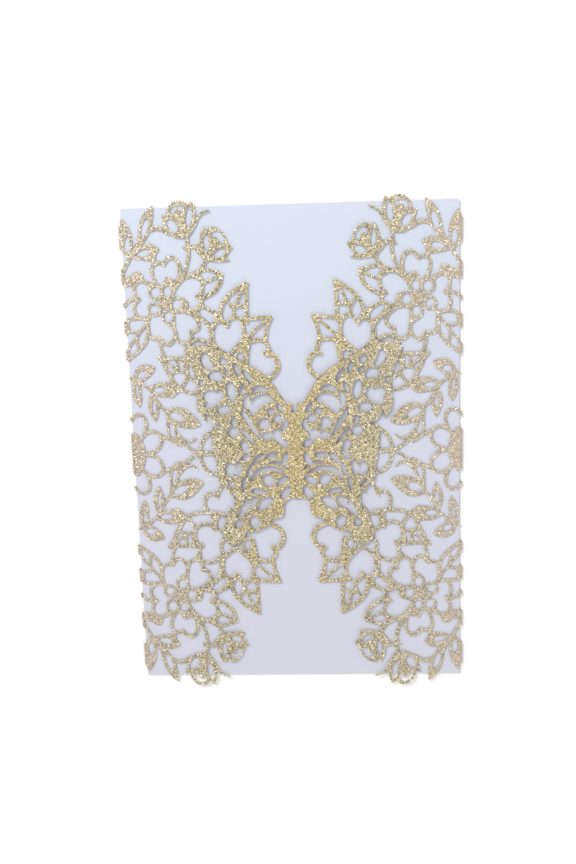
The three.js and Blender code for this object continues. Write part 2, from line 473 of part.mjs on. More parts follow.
// Mirrored and shifted copy of a solid
function placeSolid(solid, scaleX, scaleY, shiftX = 0, shiftY = 0) {
  const geometry = toGeometry(solid);
  geometry.applyMatrix4(new THREE.Matrix4().makeScale(scaleX, scaleY, 1));
  geometry.applyMatrix4(new THREE.Matrix4().makeTranslation(shiftX, shiftY, 0));
  if (scaleX * scaleY < 0) {
    const index = geometry.index.array;
    for (let corner = 0; corner < index.length; corner += 3) {
      [index[corner], index[corner + 1]] = [index[corner + 1], index[corner]];
    }
  }
  return toSolid(geometry);
}

function rectangle(left, bottom, right, top) {
  return [[left, bottom], [right, bottom], [right, top], [left, top]];
}

// Outline of the whole butterfly: the right half, then the left half in reverse
function butterflyOutline() {
  const half = corneredLoop(halfButterflyOutline.concat([[[0, -18.8]]])).slice(0, -1);
  const mirrored = half.map(([x, y]) => [-x, y]).reverse();
  return half.filter(([x]) => x > 0).concat([[0, -18.8]], mirrored.filter(([x]) => x < 0), [[0, 13.5]]);
}

// The wing over its own gate, on the left, lies under the other butterfly and has only the larger openings
function wholeButterfly() {
  const freeWing = wingOpenings.map(smoothLoop);
  const ownWing = freeWing.filter((loop) => outlineArea(loop) > smallestHiddenOpening);
  const both = freeWing.concat(ownWing.map((loop) => placeLoop(loop, -1, 1)));
  return both.reduce((cut, opening) => cut.subtract(sheetSolid(opening)), sheetSolid(butterflyOutline()));
}

// Outer outline and openings of a flat solid, with the points left out that its shape doesn't need
function outlinesOf(solid) {
  const mesh = solid.getMesh();
  const next = new Map();
  const isTop = (vertex) => mesh.vertProperties[vertex * mesh.numProp + 2] > sheetThickness / 2;
  const edges = new Set();
  for (let corner = 0; corner < mesh.triVerts.length; corner += 3) {
    const triangle = [...mesh.triVerts.slice(corner, corner + 3)];
    if (!triangle.every(isTop)) continue;
    triangle.forEach((vertex, side) => edges.add(`${vertex}_${triangle[(side + 1) % 3]}`));
  }
  edges.forEach((edge) => {
    const [from, to] = edge.split('_').map(Number);
    if (edges.has(`${to}_${from}`)) return;
    if (!next.has(from)) next.set(from, []);
    next.get(from).push(to);
  });
  const loops = [];
  while (next.size > 0) {
    const start = next.keys().next().value;
    const loop = [];
    let vertex = start;
    do {
      loop.push([mesh.vertProperties[vertex * mesh.numProp], mesh.vertProperties[vertex * mesh.numProp + 1]]);
      const ways = next.get(vertex);
      const following = ways.pop();
      if (ways.length === 0) next.delete(vertex);
      vertex = following;
    } while (vertex !== start);
    loops.push(loop);
  }
  const kept = loops.filter((loop) => outlineArea(loop) > smallestOpening);
  kept.sort((one, other) => outlineArea(other) - outlineArea(one));
  return kept.map((loop, index) => {
    const others = kept.filter((one, place) => place !== index).flat();
    return thinLoop(loop, outlineCorner, others);
  });
}

// The left gate, laid flat: the lace, with its own butterfly in place of what the wings cover
function flatGate() {
  const quarter = joinAll([
    ...foldedEdgeSprays(), ...rosebuds(), ...largeFlower(), ...freeEdgeSprays(), ...innerSprays(),
  ]);
  const halfWidth = wrapWidth / 2;
  const upper = placeSolid(quarter, 1, 1, -halfWidth, 0);
  const lower = placeSolid(quarter, 1, -1, -halfWidth, 0);
  const [shiftX, shiftY] = butterflyShift;
  const butterfly = placeSolid(wholeButterfly(), 1, 1, shiftX, shiftY);
  const filled = sheetSolid(placeLoop(butterflyOutline(), coveredShare, coveredShare, shiftX, shiftY));
  const curved = sheetSolid(rectangle(-wrapWidth, -wrapWidth, foldRadius - halfWidth, wrapWidth));
  const lace = upper.add(lower).subtract(filled).add(butterfly).subtract(curved);
  const [outline, ...openings] = outlinesOf(lace);
  return openings.reduce((cut, opening) => cut.subtract(sheetSolid(opening)), sheetSolid(outline));
}

// Block taller than all layers, over a rectangle
function block(left, bottom, right, top) {
  const shape = new THREE.Shape(rectangle(left, bottom, right, top).map(([x, y]) => new THREE.Vector2(x, y)));
  const geometry = new THREE.ExtrudeGeometry(shape, { depth: 6 * layerPitch, bevelEnabled: false });
  geometry.translate(0, 0, -2 * layerPitch);
  return toSolid(geometry);
}

// Height of the gates above their level at the folds
function riseAt(x) {
  const inward = THREE.MathUtils.clamp((flatFrom - Math.abs(x)) / riseLength, 0, 1);
  return gateRise * inward * inward * (3 - 2 * inward);
}

// Moves each point of a solid up by a height that depends on x
function lifted(solid, heightAt) {
  const geometry = toGeometry(solid);
  const position = geometry.attributes.position;
  for (let vertex = 0; vertex < position.count; vertex += 1) {
    position.setZ(vertex, position.getZ(vertex) + heightAt(position.getX(vertex)));
  }
  return toSolid(geometry);
}

// Puts a flat gate in place: its free wing passes through the slit and lies on top of the other gate
function raisedGate(flat, opposingSlit) {
  const crossingAt = (x) => layerPitch * THREE.MathUtils.clamp((x / crossingHalfWidth + 1) / 2, 0, 1);
  const bends = [-wrapWidth, -flatFrom, -crossingHalfWidth, crossingHalfWidth, wrapWidth];
  const stretches = [0, 1, 2, 3].map((index) => {
    const stretch = block(bends[index], -wrapWidth, bends[index + 1], wrapWidth);
    return lifted(flat.intersect(stretch), crossingAt);
  });
  return lifted(joinAll(stretches).subtract(opposingSlit), (x) => gateLevel + riseAt(x));
}

// Strips of the folded edge: the stretches of v where the lace runs round to the back panel
const foldStrips = [[-7.5, 7.5], [12.4, 13.6], [34.9, 38.4], [44.3, 48.9], [54, 55.2], [61.7, 67.2], [74.3, 82.5]];

function foldedEdge() {
  const inner = foldRadius - sheetThickness;
  const profile = [];
  const flatEnd = foldRadius + jointOverlap;
  profile.push([flatEnd, 0]);
  for (let step = 0; step <= foldSteps; step += 1) {
    const angle = -Math.PI / 2 - step * Math.PI / foldSteps;
    profile.push([foldRadius + foldRadius * Math.cos(angle), foldRadius + foldRadius * Math.sin(angle)]);
  }
  profile.push([flatEnd, 2 * foldRadius], [flatEnd, foldRadius + inner]);
  for (let step = foldSteps; step >= 0; step -= 1) {
    const angle = -Math.PI / 2 - step * Math.PI / foldSteps;
    profile.push([foldRadius + inner * Math.cos(angle), foldRadius + inner * Math.sin(angle)]);
  }
  profile.push([flatEnd, foldRadius - inner]);
  const shape = new THREE.Shape(profile.map(([x, z]) => new THREE.Vector2(x, z)));
  const mirroredStrips = foldStrips.filter(([bottom]) => bottom > 0).map(([bottom, top]) => [-top, -bottom]);
  return joinAll(foldStrips.concat(mirroredStrips).map(([bottom, top]) => {
    const strip = new THREE.ExtrudeGeometry(shape, { depth: top - bottom, bevelEnabled: false });
    strip.rotateX(Math.PI / 2);
    strip.translate(-wrapWidth / 2, top, 0);
    return toSolid(strip);
  }));
}

function gatefoldWrap() {
  const gate = flatGate();
  const slitFromTop = block(-slitHalfWidth, slitMeetHeight - slitEndGap / 2, slitHalfWidth, slitReach);
  const slitFromBottom = block(-slitHalfWidth, -slitReach, slitHalfWidth, slitMeetHeight + slitEndGap / 2);
  const left = raisedGate(gate, slitFromTop);
  const right = placeSolid(raisedGate(gate, slitFromBottom), -1, 1);
  const edge = foldedEdge();
  const flatHalf = wrapWidth / 2 - foldRadius;
  const panel = sheetSolid(rectangle(-flatHalf, -panelHeight / 2, flatHalf, panelHeight / 2));
  const solid = joinAll([panel, edge, placeSolid(edge, -1, 1), left, right]);
  const geometry = toGeometry(solid);
  geometry.computeVertexNormals();
  const material = new THREE.MeshStandardMaterial({ color: 0xb7a984, roughness: 0.45, metalness: 0.5 });
  const mesh = new THREE.Mesh(geometry, material);
  mesh.name = 'gatefold_wrap';
  return mesh;
}

function insertCard() {
  const outline = rectangle(-cardWidth / 2, -cardHeight / 2, cardWidth / 2, cardHeight / 2);
  const shape = new THREE.Shape(outline.map(([x, y]) => new THREE.Vector2(x, y)));
  const geometry = new THREE.ExtrudeGeometry(shape, { depth: cardThickness, bevelEnabled: false });
  const material = new THREE.MeshStandardMaterial({ color: 0xe3e6f0, roughness: 0.85, metalness: 0 });
  const mesh = new THREE.Mesh(geometry, material);
  mesh.name = 'insert_card';
  mesh.position.z = cardLevel;
  return mesh;
}

const invitation = new THREE.Group();
invitation.add(gatefoldWrap(), insertCard());

export default invitation;
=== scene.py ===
import math

import bmesh
import bpy
import numpy as np
from mathutils import Matrix, Vector


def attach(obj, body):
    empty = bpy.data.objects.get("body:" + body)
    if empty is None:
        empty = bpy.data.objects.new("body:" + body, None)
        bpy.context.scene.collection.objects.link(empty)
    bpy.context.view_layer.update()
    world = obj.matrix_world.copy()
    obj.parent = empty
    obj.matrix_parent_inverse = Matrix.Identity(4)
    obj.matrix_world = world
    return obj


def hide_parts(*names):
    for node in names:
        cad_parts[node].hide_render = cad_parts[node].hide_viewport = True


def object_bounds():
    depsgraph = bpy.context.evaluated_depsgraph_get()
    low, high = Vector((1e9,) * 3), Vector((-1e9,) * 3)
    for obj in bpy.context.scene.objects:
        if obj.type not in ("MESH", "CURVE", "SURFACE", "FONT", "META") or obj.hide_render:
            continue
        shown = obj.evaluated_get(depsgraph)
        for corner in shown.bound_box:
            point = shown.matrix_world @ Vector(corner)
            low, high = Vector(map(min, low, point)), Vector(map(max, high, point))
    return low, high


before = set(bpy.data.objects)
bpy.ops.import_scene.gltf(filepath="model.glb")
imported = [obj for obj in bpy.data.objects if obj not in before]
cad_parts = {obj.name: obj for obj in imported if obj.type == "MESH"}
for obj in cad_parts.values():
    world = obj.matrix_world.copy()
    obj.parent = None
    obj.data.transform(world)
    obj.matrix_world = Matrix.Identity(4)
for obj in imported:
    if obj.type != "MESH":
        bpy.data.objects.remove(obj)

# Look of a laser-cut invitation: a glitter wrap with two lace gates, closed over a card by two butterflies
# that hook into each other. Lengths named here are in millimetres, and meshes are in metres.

bl_info = {
    "name": "Laser-cut invitation",
    "version": (1, 0, 0),
    "blender": (4, 5, 0),
    "location": "View3D > Sidebar > Invitation",
    "description": "Builds the lace gates, the folded wrap, the card and the glitter of an invitation",
    "category": "Add Mesh",
}

MM = 0.001
CAD_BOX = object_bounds()

# Sizes of the wrap and the card. The layers lie closer than in the solid model, the card higher up.
WRAP_WIDTH = 120
PANEL_HEIGHT = 174
CARD_WIDTH = 118
CARD_HEIGHT = 175
CARD_LEVEL = 0.65
CARD_RISE = 0.8
GATE_LEVEL = 1.25
LAYER_PITCH = 0.5
FOLD_RADIUS = 0.8
FOLD_X = WRAP_WIDTH / 2 - FOLD_RADIUS
LINE_WIDTH = 1.05
VEIN_WIDTH = 0.85

# Where the butterflies cross, and how the gates lift off the card
CROSSING_HALF_WIDTH = 1.2
SLIT_HALF_WIDTH = 0.7
SLIT_MEET_HEIGHT = -2.6
SLIT_END_GAP = 0.4
SLIT_REACH = 25
BUTTERFLY_SHIFT = (0.1, 1.35)
OPENING_GROWTH = 0.33
BUTTERFLY_OVERLAP = 0.4
RISE_LENGTH = 46
WAVE_HEIGHT = 0.14
WAVE_FREE_LENGTH = 15

# Smallest bend that the cutting line makes, and how closely the outline follows it
CORNER_BLEND = 0.28
OUTLINE_SLACK = 0.012
THINNING_TURNS = 3
SHORTEST_LOOP = 8
CURVE_STEPS = 8
OVAL_SIDES = 32
MERGE_DISTANCE = 0.0005

# Area that is drawn, past the lace on all sides, and the distance from it that empty points start with
DRAWN_HEIGHT = 92
DRAWN_PAST_FOLD = 1
DRAWN_PAST_MIDDLE = 40
EMPTY = 5.0

# Heights of the stretches of a folded edge that carry card. Those above the middle are there below it too.
FOLD_STRIPS = [(-7.5, 7.5), (12.4, 13.6), (34.9, 38.4), (44.3, 48.9), (54, 55.2), (61.7, 67.2), (74.3, 82.5)]
FOLD_STEPS = 10

# Points across and up the card, and the lengths of its soft waves
CARD_POINTS = (60, 90)
CARD_WAVES = (17, 23)

# Sizes of the patterns: a glitter grain, the soft unevenness of the card and its fine grain
GLITTER_GRAIN = 0.42
CARD_UNEVENNESS = 42
CARD_GRAIN = 0.6

# Camera that the photograph was taken with, turned in degrees about the model's axes and moved
CAMERA_LENS = 50
CAMERA_SENSOR = 36
CAMERA_TURN = (12.8, 3.51, -1.06)
CAMERA_OFFSET = (2.9, 6.7, 436.5)
CAMERA_LIFT = 0.15

# Lights, as place and width, and the floor
KEY_LIGHT = ((-300, 500, 620), 300)
FILL_LIGHT = ((350, -550, 700), 600)
FLOOR_WIDTH = 3000
FLOOR_DROP = 0.1


# Drawing the lace

def smooth_line(points, closed=False):
    """Centripetal Catmull-Rom curve through the points."""
    drawn = np.array(points, dtype=float)
    if len(drawn) < 3:
        return drawn
    if closed:
        held = np.vstack([drawn[-1], drawn, drawn[0], drawn[1]])
        spans = len(drawn)
    else:
        held = np.vstack([2 * drawn[0] - drawn[1], drawn, 2 * drawn[-1] - drawn[-2]])
        spans = len(drawn) - 1
    line = []
    for span in range(spans):
        corners = held[span:span + 4]
        steps = np.sqrt(np.linalg.norm(np.diff(corners, axis=0), axis=1))
        knots = np.concatenate([[0], np.cumsum(np.maximum(steps, 1e-4))])
        for part in range(CURVE_STEPS):
            at = knots[1] + (knots[2] - knots[1]) * part / CURVE_STEPS
            line.append(point_between(corners, knots, at))
    if not closed:
        line.append(drawn[-1])
    return np.array(line)


def point_between(corners, knots, at):
    """Point of a Catmull-Rom span at one knot value."""
    points = list(corners)
    for order in (1, 2, 3):
        blended = []
        for index in range(len(points) - 1):
            first = index if order < 3 else 1
            last = index + order if order < 3 else 2
            share = (at - knots[first]) / (knots[last] - knots[first])
            blended.append((1 - share) * points[index] + share * points[index + 1])
        points = blended
    return points[0]


def cornered_loop(spans):
    """Closed outline with a corner wherever one span ends and the next begins."""
    outline = []
    for index, span in enumerate(spans):
        following = spans[(index + 1) % len(spans)]
        outline.extend(smooth_line(list(span) + [following[0]])[:-1])
    return np.array(outline)


def oval(centre, radii):
    """Closed outline of an oval."""
    angles = 2 * math.pi * np.arange(OVAL_SIDES) / OVAL_SIDES
    return np.array(centre) + np.column_stack([np.cos(angles), np.sin(angles)]) * radii


def bar(points, width=LINE_WIDTH, end_width=None):
    """Bar of lace along a smooth path, which may taper."""
    path = smooth_line(points)
    halves = np.linspace(width, width if end_width is None else end_width, len(path)) / 2
    return {"path": path, "halves": halves, "around": path}


def vein(points):
    """Thin bar inside a leaf or a petal."""
    return bar(points, VEIN_WIDTH)


def plate(spans, openings=()):
    """Leaf, bud or patch with smooth openings in it."""
    outline = cornered_loop(spans)
    inner = [smooth_line(loop, True) for loop in openings]
    return {"outline": outline, "openings": inner, "around": outline}


def disc(centre, radius):
    """Round patch."""
    outline = oval(centre, (radius, radius))
    return {"outline": outline, "openings": [], "around": outline}


def ring(centre, radii, width=LINE_WIDTH):
    """Oval ring, with its radii at the middle of the line."""
    outer = oval(centre, (radii[0] + width / 2, radii[1] + width / 2))
    inner = oval(centre, (radii[0] - width / 2, radii[1] - width / 2))
    return {"outline": outer, "openings": [inner], "around": outer}


def folded_edge_sprays():
    """Leaves, arches and the half flower that stand on the folded edge."""
    return [
        plate([[[1.4, 85.2], [3.2, 82.8], [4.5, 79.8], [4.8, 76.8], [4.3, 73.8]], [[2.8, 71.4],
            [0.8, 73.8], [0.2, 77], [0.2, 81], [0.6, 83.6]]], [[[2, 73.9], [3.5, 73.6], [3.8, 76.5],
            [2.9, 78.6], [1.9, 77.2]]]),
        bar([[4.5, 73.6], [2.9, 70.1], [1.6, 68], [0.4, 65.4]], 1.2),
        plate([[[0, 64.6], [3.4, 64.9]], [[5, 66.2], [6.8, 66.2], [7.8, 64.9]], [[7.5, 63.6], [6.6, 62.7],
            [4.2, 61.6]], [[0, 61.2]]]),
        bar([[6.6, 63.2], [9.4, 62.4], [11.4, 61.2]]),
        bar([[0.2, 53.6], [1.8, 55.9], [4.8, 56.9]]),
        bar([[0, 48.4], [2.2, 49.5], [4.6, 49.9], [9, 49.8]]),
        plate([[[0, 48.8], [1.6, 48.6], [1.9, 46.4], [1.3, 44.6]], [[0, 43]]]),
        vein([[1.6, 45.4], [3.4, 44.9], [5.6, 45.1], [8.4, 48.6]]),
        bar([[8.6, 48.2], [8.5, 45], [7.9, 42.2], [6.8, 40.2], [4.8, 38.2], [2.6, 36.4], [0.4, 34.8]]),
        vein([[5.6, 45.1], [4.4, 42.6], [4.5, 40.2], [5.2, 38.6]]),
        vein([[4.6, 43.2], [2.6, 41.2], [1.2, 39], [0.9, 36.6], [1, 35]]),
        plate([[[4.6, 27.2], [2.6, 27.8], [2.6, 30], [3.8, 32], [6, 33], [8.4, 32.9]], [[10.4, 32.3]],
            [[9.6, 30.4], [7.8, 28.6], [5.6, 27.2]]], [[[3.6, 28.3], [3.7, 29.6], [5.1, 30.9], [6.7, 30.6],
            [7.2, 29.4], [5.8, 28.2]]]),
        bar([[0.4, 28.4], [2.6, 27.8], [4.2, 27.6]], 1),
        plate([[[4.2, 28.2], [2.2, 28], [1.7, 25.6], [1.6, 22.6], [2.3, 19.6]], [[3.9, 17.4], [4.7, 19.6],
            [4.8, 23], [4.7, 25.8]]], [[[2.8, 26], [3.6, 25.8], [3.8, 23.4], [3.5, 21.4], [2.9, 21.4],
            [2.7, 23.6]]]),
        vein([[4.4, 27.4], [6.2, 25.4], [8.6, 23.8]]),
        plate([[[8.6, 22.6], [7.3, 20], [7.1, 17.4], [7.9, 14.4]], [[9.3, 11.9], [10.2, 13.6], [10.8, 16],
            [10.9, 18.6], [10, 21]]], [[[9, 20.6], [9.8, 19], [9.9, 16.6], [9.4, 15], [8.8, 15.2],
            [8.4, 17.6]]]),
        bar([[10.3, 20], [11.4, 17.9], [13.8, 15.6]]),
        plate([[[0, 8], [2.2, 7.8], [3.4, 5.6], [4.6, 3.2], [5, 0]], [[5, -1]], [[0, -1]]]),
        bar([[0.2, 12], [1.6, 14.1], [3.6, 14.8], [5.4, 13.8], [6, 11.4], [5.5, 8.8], [4.2, 6.4],
            [3, 4.8]]),
        bar([[4.2, 6.4], [6, 8], [8.2, 8.4], [10.3, 7.6], [11.2, 5.4], [10.6, 3], [8.8, 1.2], [6.8, 0.4],
            [4.4, 0]]),
    ]


def rosebuds():
    """Upright leaf, the large rosebud and the small one, with their stems."""
    return [
        plate([[[4.2, 73.2], [5.4, 75.4], [6.6, 77.8], [7.1, 81], [8.3, 84.8], [10.2, 87.5]],
            [[12.7, 89.4], [12.6, 86.2], [12, 83], [11.1, 80.2], [9.2, 77.2], [6.8, 75]]], [[[8.2, 78.3],
            [8, 80.4], [8.7, 83], [10.2, 84.8], [10.9, 84], [10.6, 81.2], [9.6, 79.2]]]),
        bar([[10.9, 80.6], [12.6, 81.3], [15.2, 81.1], [17.6, 79.6]], 1.4),
        plate([[[24.2, 78], [21, 77.7], [18.4, 78.9], [16.8, 81.4]], [[15.5, 85.8]], [[17.3, 85.3],
            [17.6, 87.6], [19, 89.7], [21.2, 90.7], [23.4, 90.4]], [[25, 89.3]], [[26.5, 90.4],
            [27.4, 87.8], [27.2, 84.6], [26.2, 81.4]]], [[[18.6, 86.3], [19.1, 88.1], [20.6, 89.3],
            [22.4, 89.4], [23.6, 88.4], [22.9, 86.5], [22.1, 87.4], [21, 87.8], [20.3, 86.6],
            [19.6, 85.6]], [[17.1, 83.8], [18.6, 84.4], [20.3, 83.2], [21.2, 81.2], [20.7, 79.8],
            [19.2, 79.6], [17.8, 81.2]], [[24.7, 87.8], [25.8, 88.6], [26.3, 86.4], [26.1, 83.6],
            [25.2, 81.7], [24.4, 81.4], [23.8, 83], [24, 85.6]]]),
        bar([[24.8, 79.2], [26.8, 82], [28.2, 84.6], [29.8, 86.2], [32.3, 87]], 1.3, 0.6),
        bar([[24.2, 78.8], [24.2, 76], [24.5, 73.6], [24.3, 71], [23.5, 68], [22.4, 65.4], [21.6, 64]]),
        vein([[24.4, 74], [23, 74.2]]),
        plate([[[30.6, 69.6], [28.9, 73.2], [28.6, 76.2], [29.2, 79.2]], [[30.3, 81.5]], [[31.2, 80.6],
            [33.2, 81.3], [35.4, 80.6], [37.3, 78.6], [38.3, 76]], [[38.7, 74.9]], [[40.1, 74.3]],
            [[38.6, 72.4], [37.5, 70.6]], [[39.2, 69.5]], [[36, 69.1], [33, 69.3]]], [[[31, 79.4],
            [31.7, 77], [31.9, 74.4], [31.3, 72.7], [30.4, 73.4], [29.8, 75.4], [29.9, 77.8]],
            [[32.8, 79.3], [34.8, 80], [36.4, 78.8], [37.3, 76.9], [37.2, 75.8], [35.6, 75.5],
            [35.2, 76.9], [34.1, 77.9], [33.2, 77.1]], [[33.1, 71.8], [34.6, 73.3], [36.9, 73.9],
            [37.8, 73.2], [37, 71.6], [35.6, 70.6], [33.8, 70.7]]]),
        bar([[24.6, 75], [26.6, 74.4], [28.6, 72.4], [30.4, 69.8]]),
        plate([[[26.4, 74.8], [28.4, 75.4]], [[29.4, 72.2], [28.2, 71.8]]]),
        bar([[30.6, 69.8], [29.2, 67.8], [27.8, 66], [25.2, 64.9], [21.4, 64.6]], 1.15),
    ]


def large_flower():
    """Flower of five heart-shaped petals, and the leaves beside it."""
    petals = [([12, 59], [2.2, 2.5]), ([16.3, 59.2], [2, 2.4]), ([19.4, 54.4], [2.2, 2.5]),
              ([16.1, 50.2], [2, 2.4]), ([11.3, 52.9], [2.2, 2])]
    return [
        plate([[[4.4, 73.6], [7, 75.2], [10, 76], [12.4, 75.5]], [[14.1, 74.2]], [[12.8, 72.3],
            [12.1, 70.4]], [[8.5, 70.4], [4.6, 71.3]]], [[[5.6, 72.2], [7.6, 73.8], [9.9, 74.3],
            [10.9, 73.3], [10.2, 72], [8, 71.5]]]),
        bar([[11.9, 71], [12.3, 69]]),
        disc([15.7, 54.9], 2.1),
        *[ring(centre, radii, VEIN_WIDTH) for centre, radii in petals],
        vein([[12.6, 56.8], [14.5, 55.6]]),
        vein([[13, 53.6], [14.5, 54.4]]),
        plate([[[14.8, 61.4], [15.4, 63.2], [16.4, 64.2], [17.6, 63.5], [18.9, 63.5], [18.8, 61.4]],
            [[16.6, 61.6]]]),
        plate([[[21.2, 56.8], [22.8, 56.1], [23.4, 54.2], [22.8, 52.2], [21.2, 52.1]], [[21.8, 54.5]]]),
        plate([[[14.8, 48.2], [16.2, 46.8], [17.9, 46.3], [18.4, 48.6]], [[16.2, 48]]]),
        bar([[13.6, 60.8], [12.2, 62.6], [11.2, 65.2], [11.2, 67.8], [12.6, 69.3], [15.5, 68.9]]),
        bar([[15.3, 68.7], [16.9, 70.7], [18.8, 71], [20.5, 69.5], [21, 67], [20.6, 64.2], [19.2, 61],
            [18, 58.6]], 1.15),
        bar([[18.5, 59.4], [20.4, 62], [22.6, 63.9], [25.4, 64.4], [27.8, 63.4]]),
        bar([[27.3, 65.4], [28.6, 63.2], [28.9, 61], [28.3, 58.6], [26.6, 57]]),
        bar([[26.6, 57], [28.1, 56], [28.2, 54.2], [26.4, 52.9], [23.2, 52.3]]),
        bar([[18.2, 52], [21.4, 52.2], [24.6, 50.8], [26.7, 48.2], [26.4, 45.6], [23.9, 44.4]]),
        bar([[23.9, 44.6], [24, 42.6], [22.6, 40.9], [20.7, 40.7], [18.9, 42], [18.3, 43.4]]),
        bar([[17.3, 47.4], [18.2, 45.4], [18.4, 43.2]]),
        bar([[18.4, 43.4], [17.2, 41.4], [15.4, 40.2], [13.8, 41], [12.8, 42.6]]),
        bar([[12.8, 42.4], [11, 42.4], [9.3, 43], [8.6, 45.4], [8.5, 48.2], [9.5, 50.8]]),
        bar([[10.3, 61.2], [8.2, 63], [6, 62.9], [4.6, 61.4], [4.6, 58.6], [6, 56.6]]),
        bar([[6, 56.6], [4.4, 55], [4.1, 52.6], [5.2, 50.5], [7.2, 49.7], [9, 50]]),
        bar([[26.6, 65.7], [29.6, 66.5], [32.6, 66], [35.7, 64.7]]),
        bar([[35.6, 64.9], [35, 61.8], [33.2, 59.2], [30.6, 57.5], [27.7, 56.3]], 1.25),
        vein([[28.8, 61.9], [31.6, 62.8], [35.2, 64.5]]),
        plate([[[25, 51.9], [27.8, 54.4], [30.6, 52.9], [33.6, 51.6], [35.2, 49.4]], [[33.4, 47.2],
            [31, 45.4]], [[28.6, 47.9], [26.4, 49.6]]], [[[26.9, 52], [28.4, 53], [30.4, 52], [32.3, 50.2],
            [32.7, 48.4], [31.4, 47.4], [29.3, 49]]]),
    ]


def free_edge_sprays():
    """Pointed leaf, heart petals and veined leaf along the free edge of the gate."""
    return [
        bar([[44.5, 61.5], [41.6, 60], [38.8, 58], [36.4, 55.6], [35, 52.6], [34.8, 49.9], [36.6, 46.6]],
            1.2),
        bar([[44.2, 61.4], [44.2, 57], [44.1, 53], [44, 47.6]]),
        plate([[[44.7, 62]], [[42.2, 59.6], [44.4, 58.8]]]),
        vein([[36.7, 56.2], [38.2, 54.2], [39.3, 52], [39.4, 49.4]]),
        vein([[42.9, 59.6], [41.3, 56.2], [39.7, 52.6]]),
        vein([[39.8, 53.2], [42, 53.5], [44.2, 53.4]]),
        bar([[36.9, 46.4], [35.6, 47.8], [33.6, 48.1], [32, 46.4], [31.4, 43.4], [31.8, 40.4],
            [33.8, 38.2], [36.8, 36]]),
        bar([[36.9, 46.4], [38, 48.8], [40, 49.6], [41.9, 48.4], [42.8, 45.6], [42.7, 42.6], [41.4, 40.2],
            [39.2, 38.2], [37, 36]]),
        bar([[31.8, 47], [31.2, 44], [31.4, 40.4]], 1.7),
        disc([43.4, 48.4], 1.2),
        bar([[43.9, 48.6], [47, 49], [50, 49.3], [52.7, 49.1]]),
        bar([[52.6, 49.3], [51.6, 47], [50.8, 44.4], [50.3, 41]]),
        vein([[44.2, 42], [47.2, 45.2], [52, 48.8]]),
        bar([[43.4, 40.2], [45.6, 41], [48, 41.3], [50, 40.8], [51.2, 39.2], [51.4, 37.4], [50.4, 36.1]],
            1.15),
        bar([[50.2, 36.2], [52.6, 35.9], [54.2, 33.8], [54.4, 31], [53, 28.7], [50.6, 27.4], [48.6, 26.6]],
            1.4),
        plate([[[39.4, 38.6], [41.2, 40.2], [43.6, 43.6]], [[45, 41], [44.6, 38.6], [44.2, 36],
            [43.2, 32]], [[42, 33.4], [42.4, 35.8], [40.8, 37.8]]]),
        bar([[22, 39.2], [23.6, 41], [26.4, 41.8], [29.4, 40.6], [31.6, 38.6], [31.2, 36], [31.9, 33.4],
            [34, 31]]),
        bar([[23, 40.8], [23.2, 38.4], [23.2, 36.2], [24.4, 34.9]], 1.15),
        bar([[24.4, 35.1], [22.6, 34.2], [21.8, 32.2], [21.7, 30], [22.9, 27.8], [25.2, 26.9],
            [27.6, 27.2], [29, 28.6]]),
        bar([[28.7, 28.4], [28.9, 26], [28.9, 22.8]], 1.5),
        ring([32.4, 26.6], [2.8, 3.3]),
        ring([41.3, 35], [2, 2.6], VEIN_WIDTH),
    ]


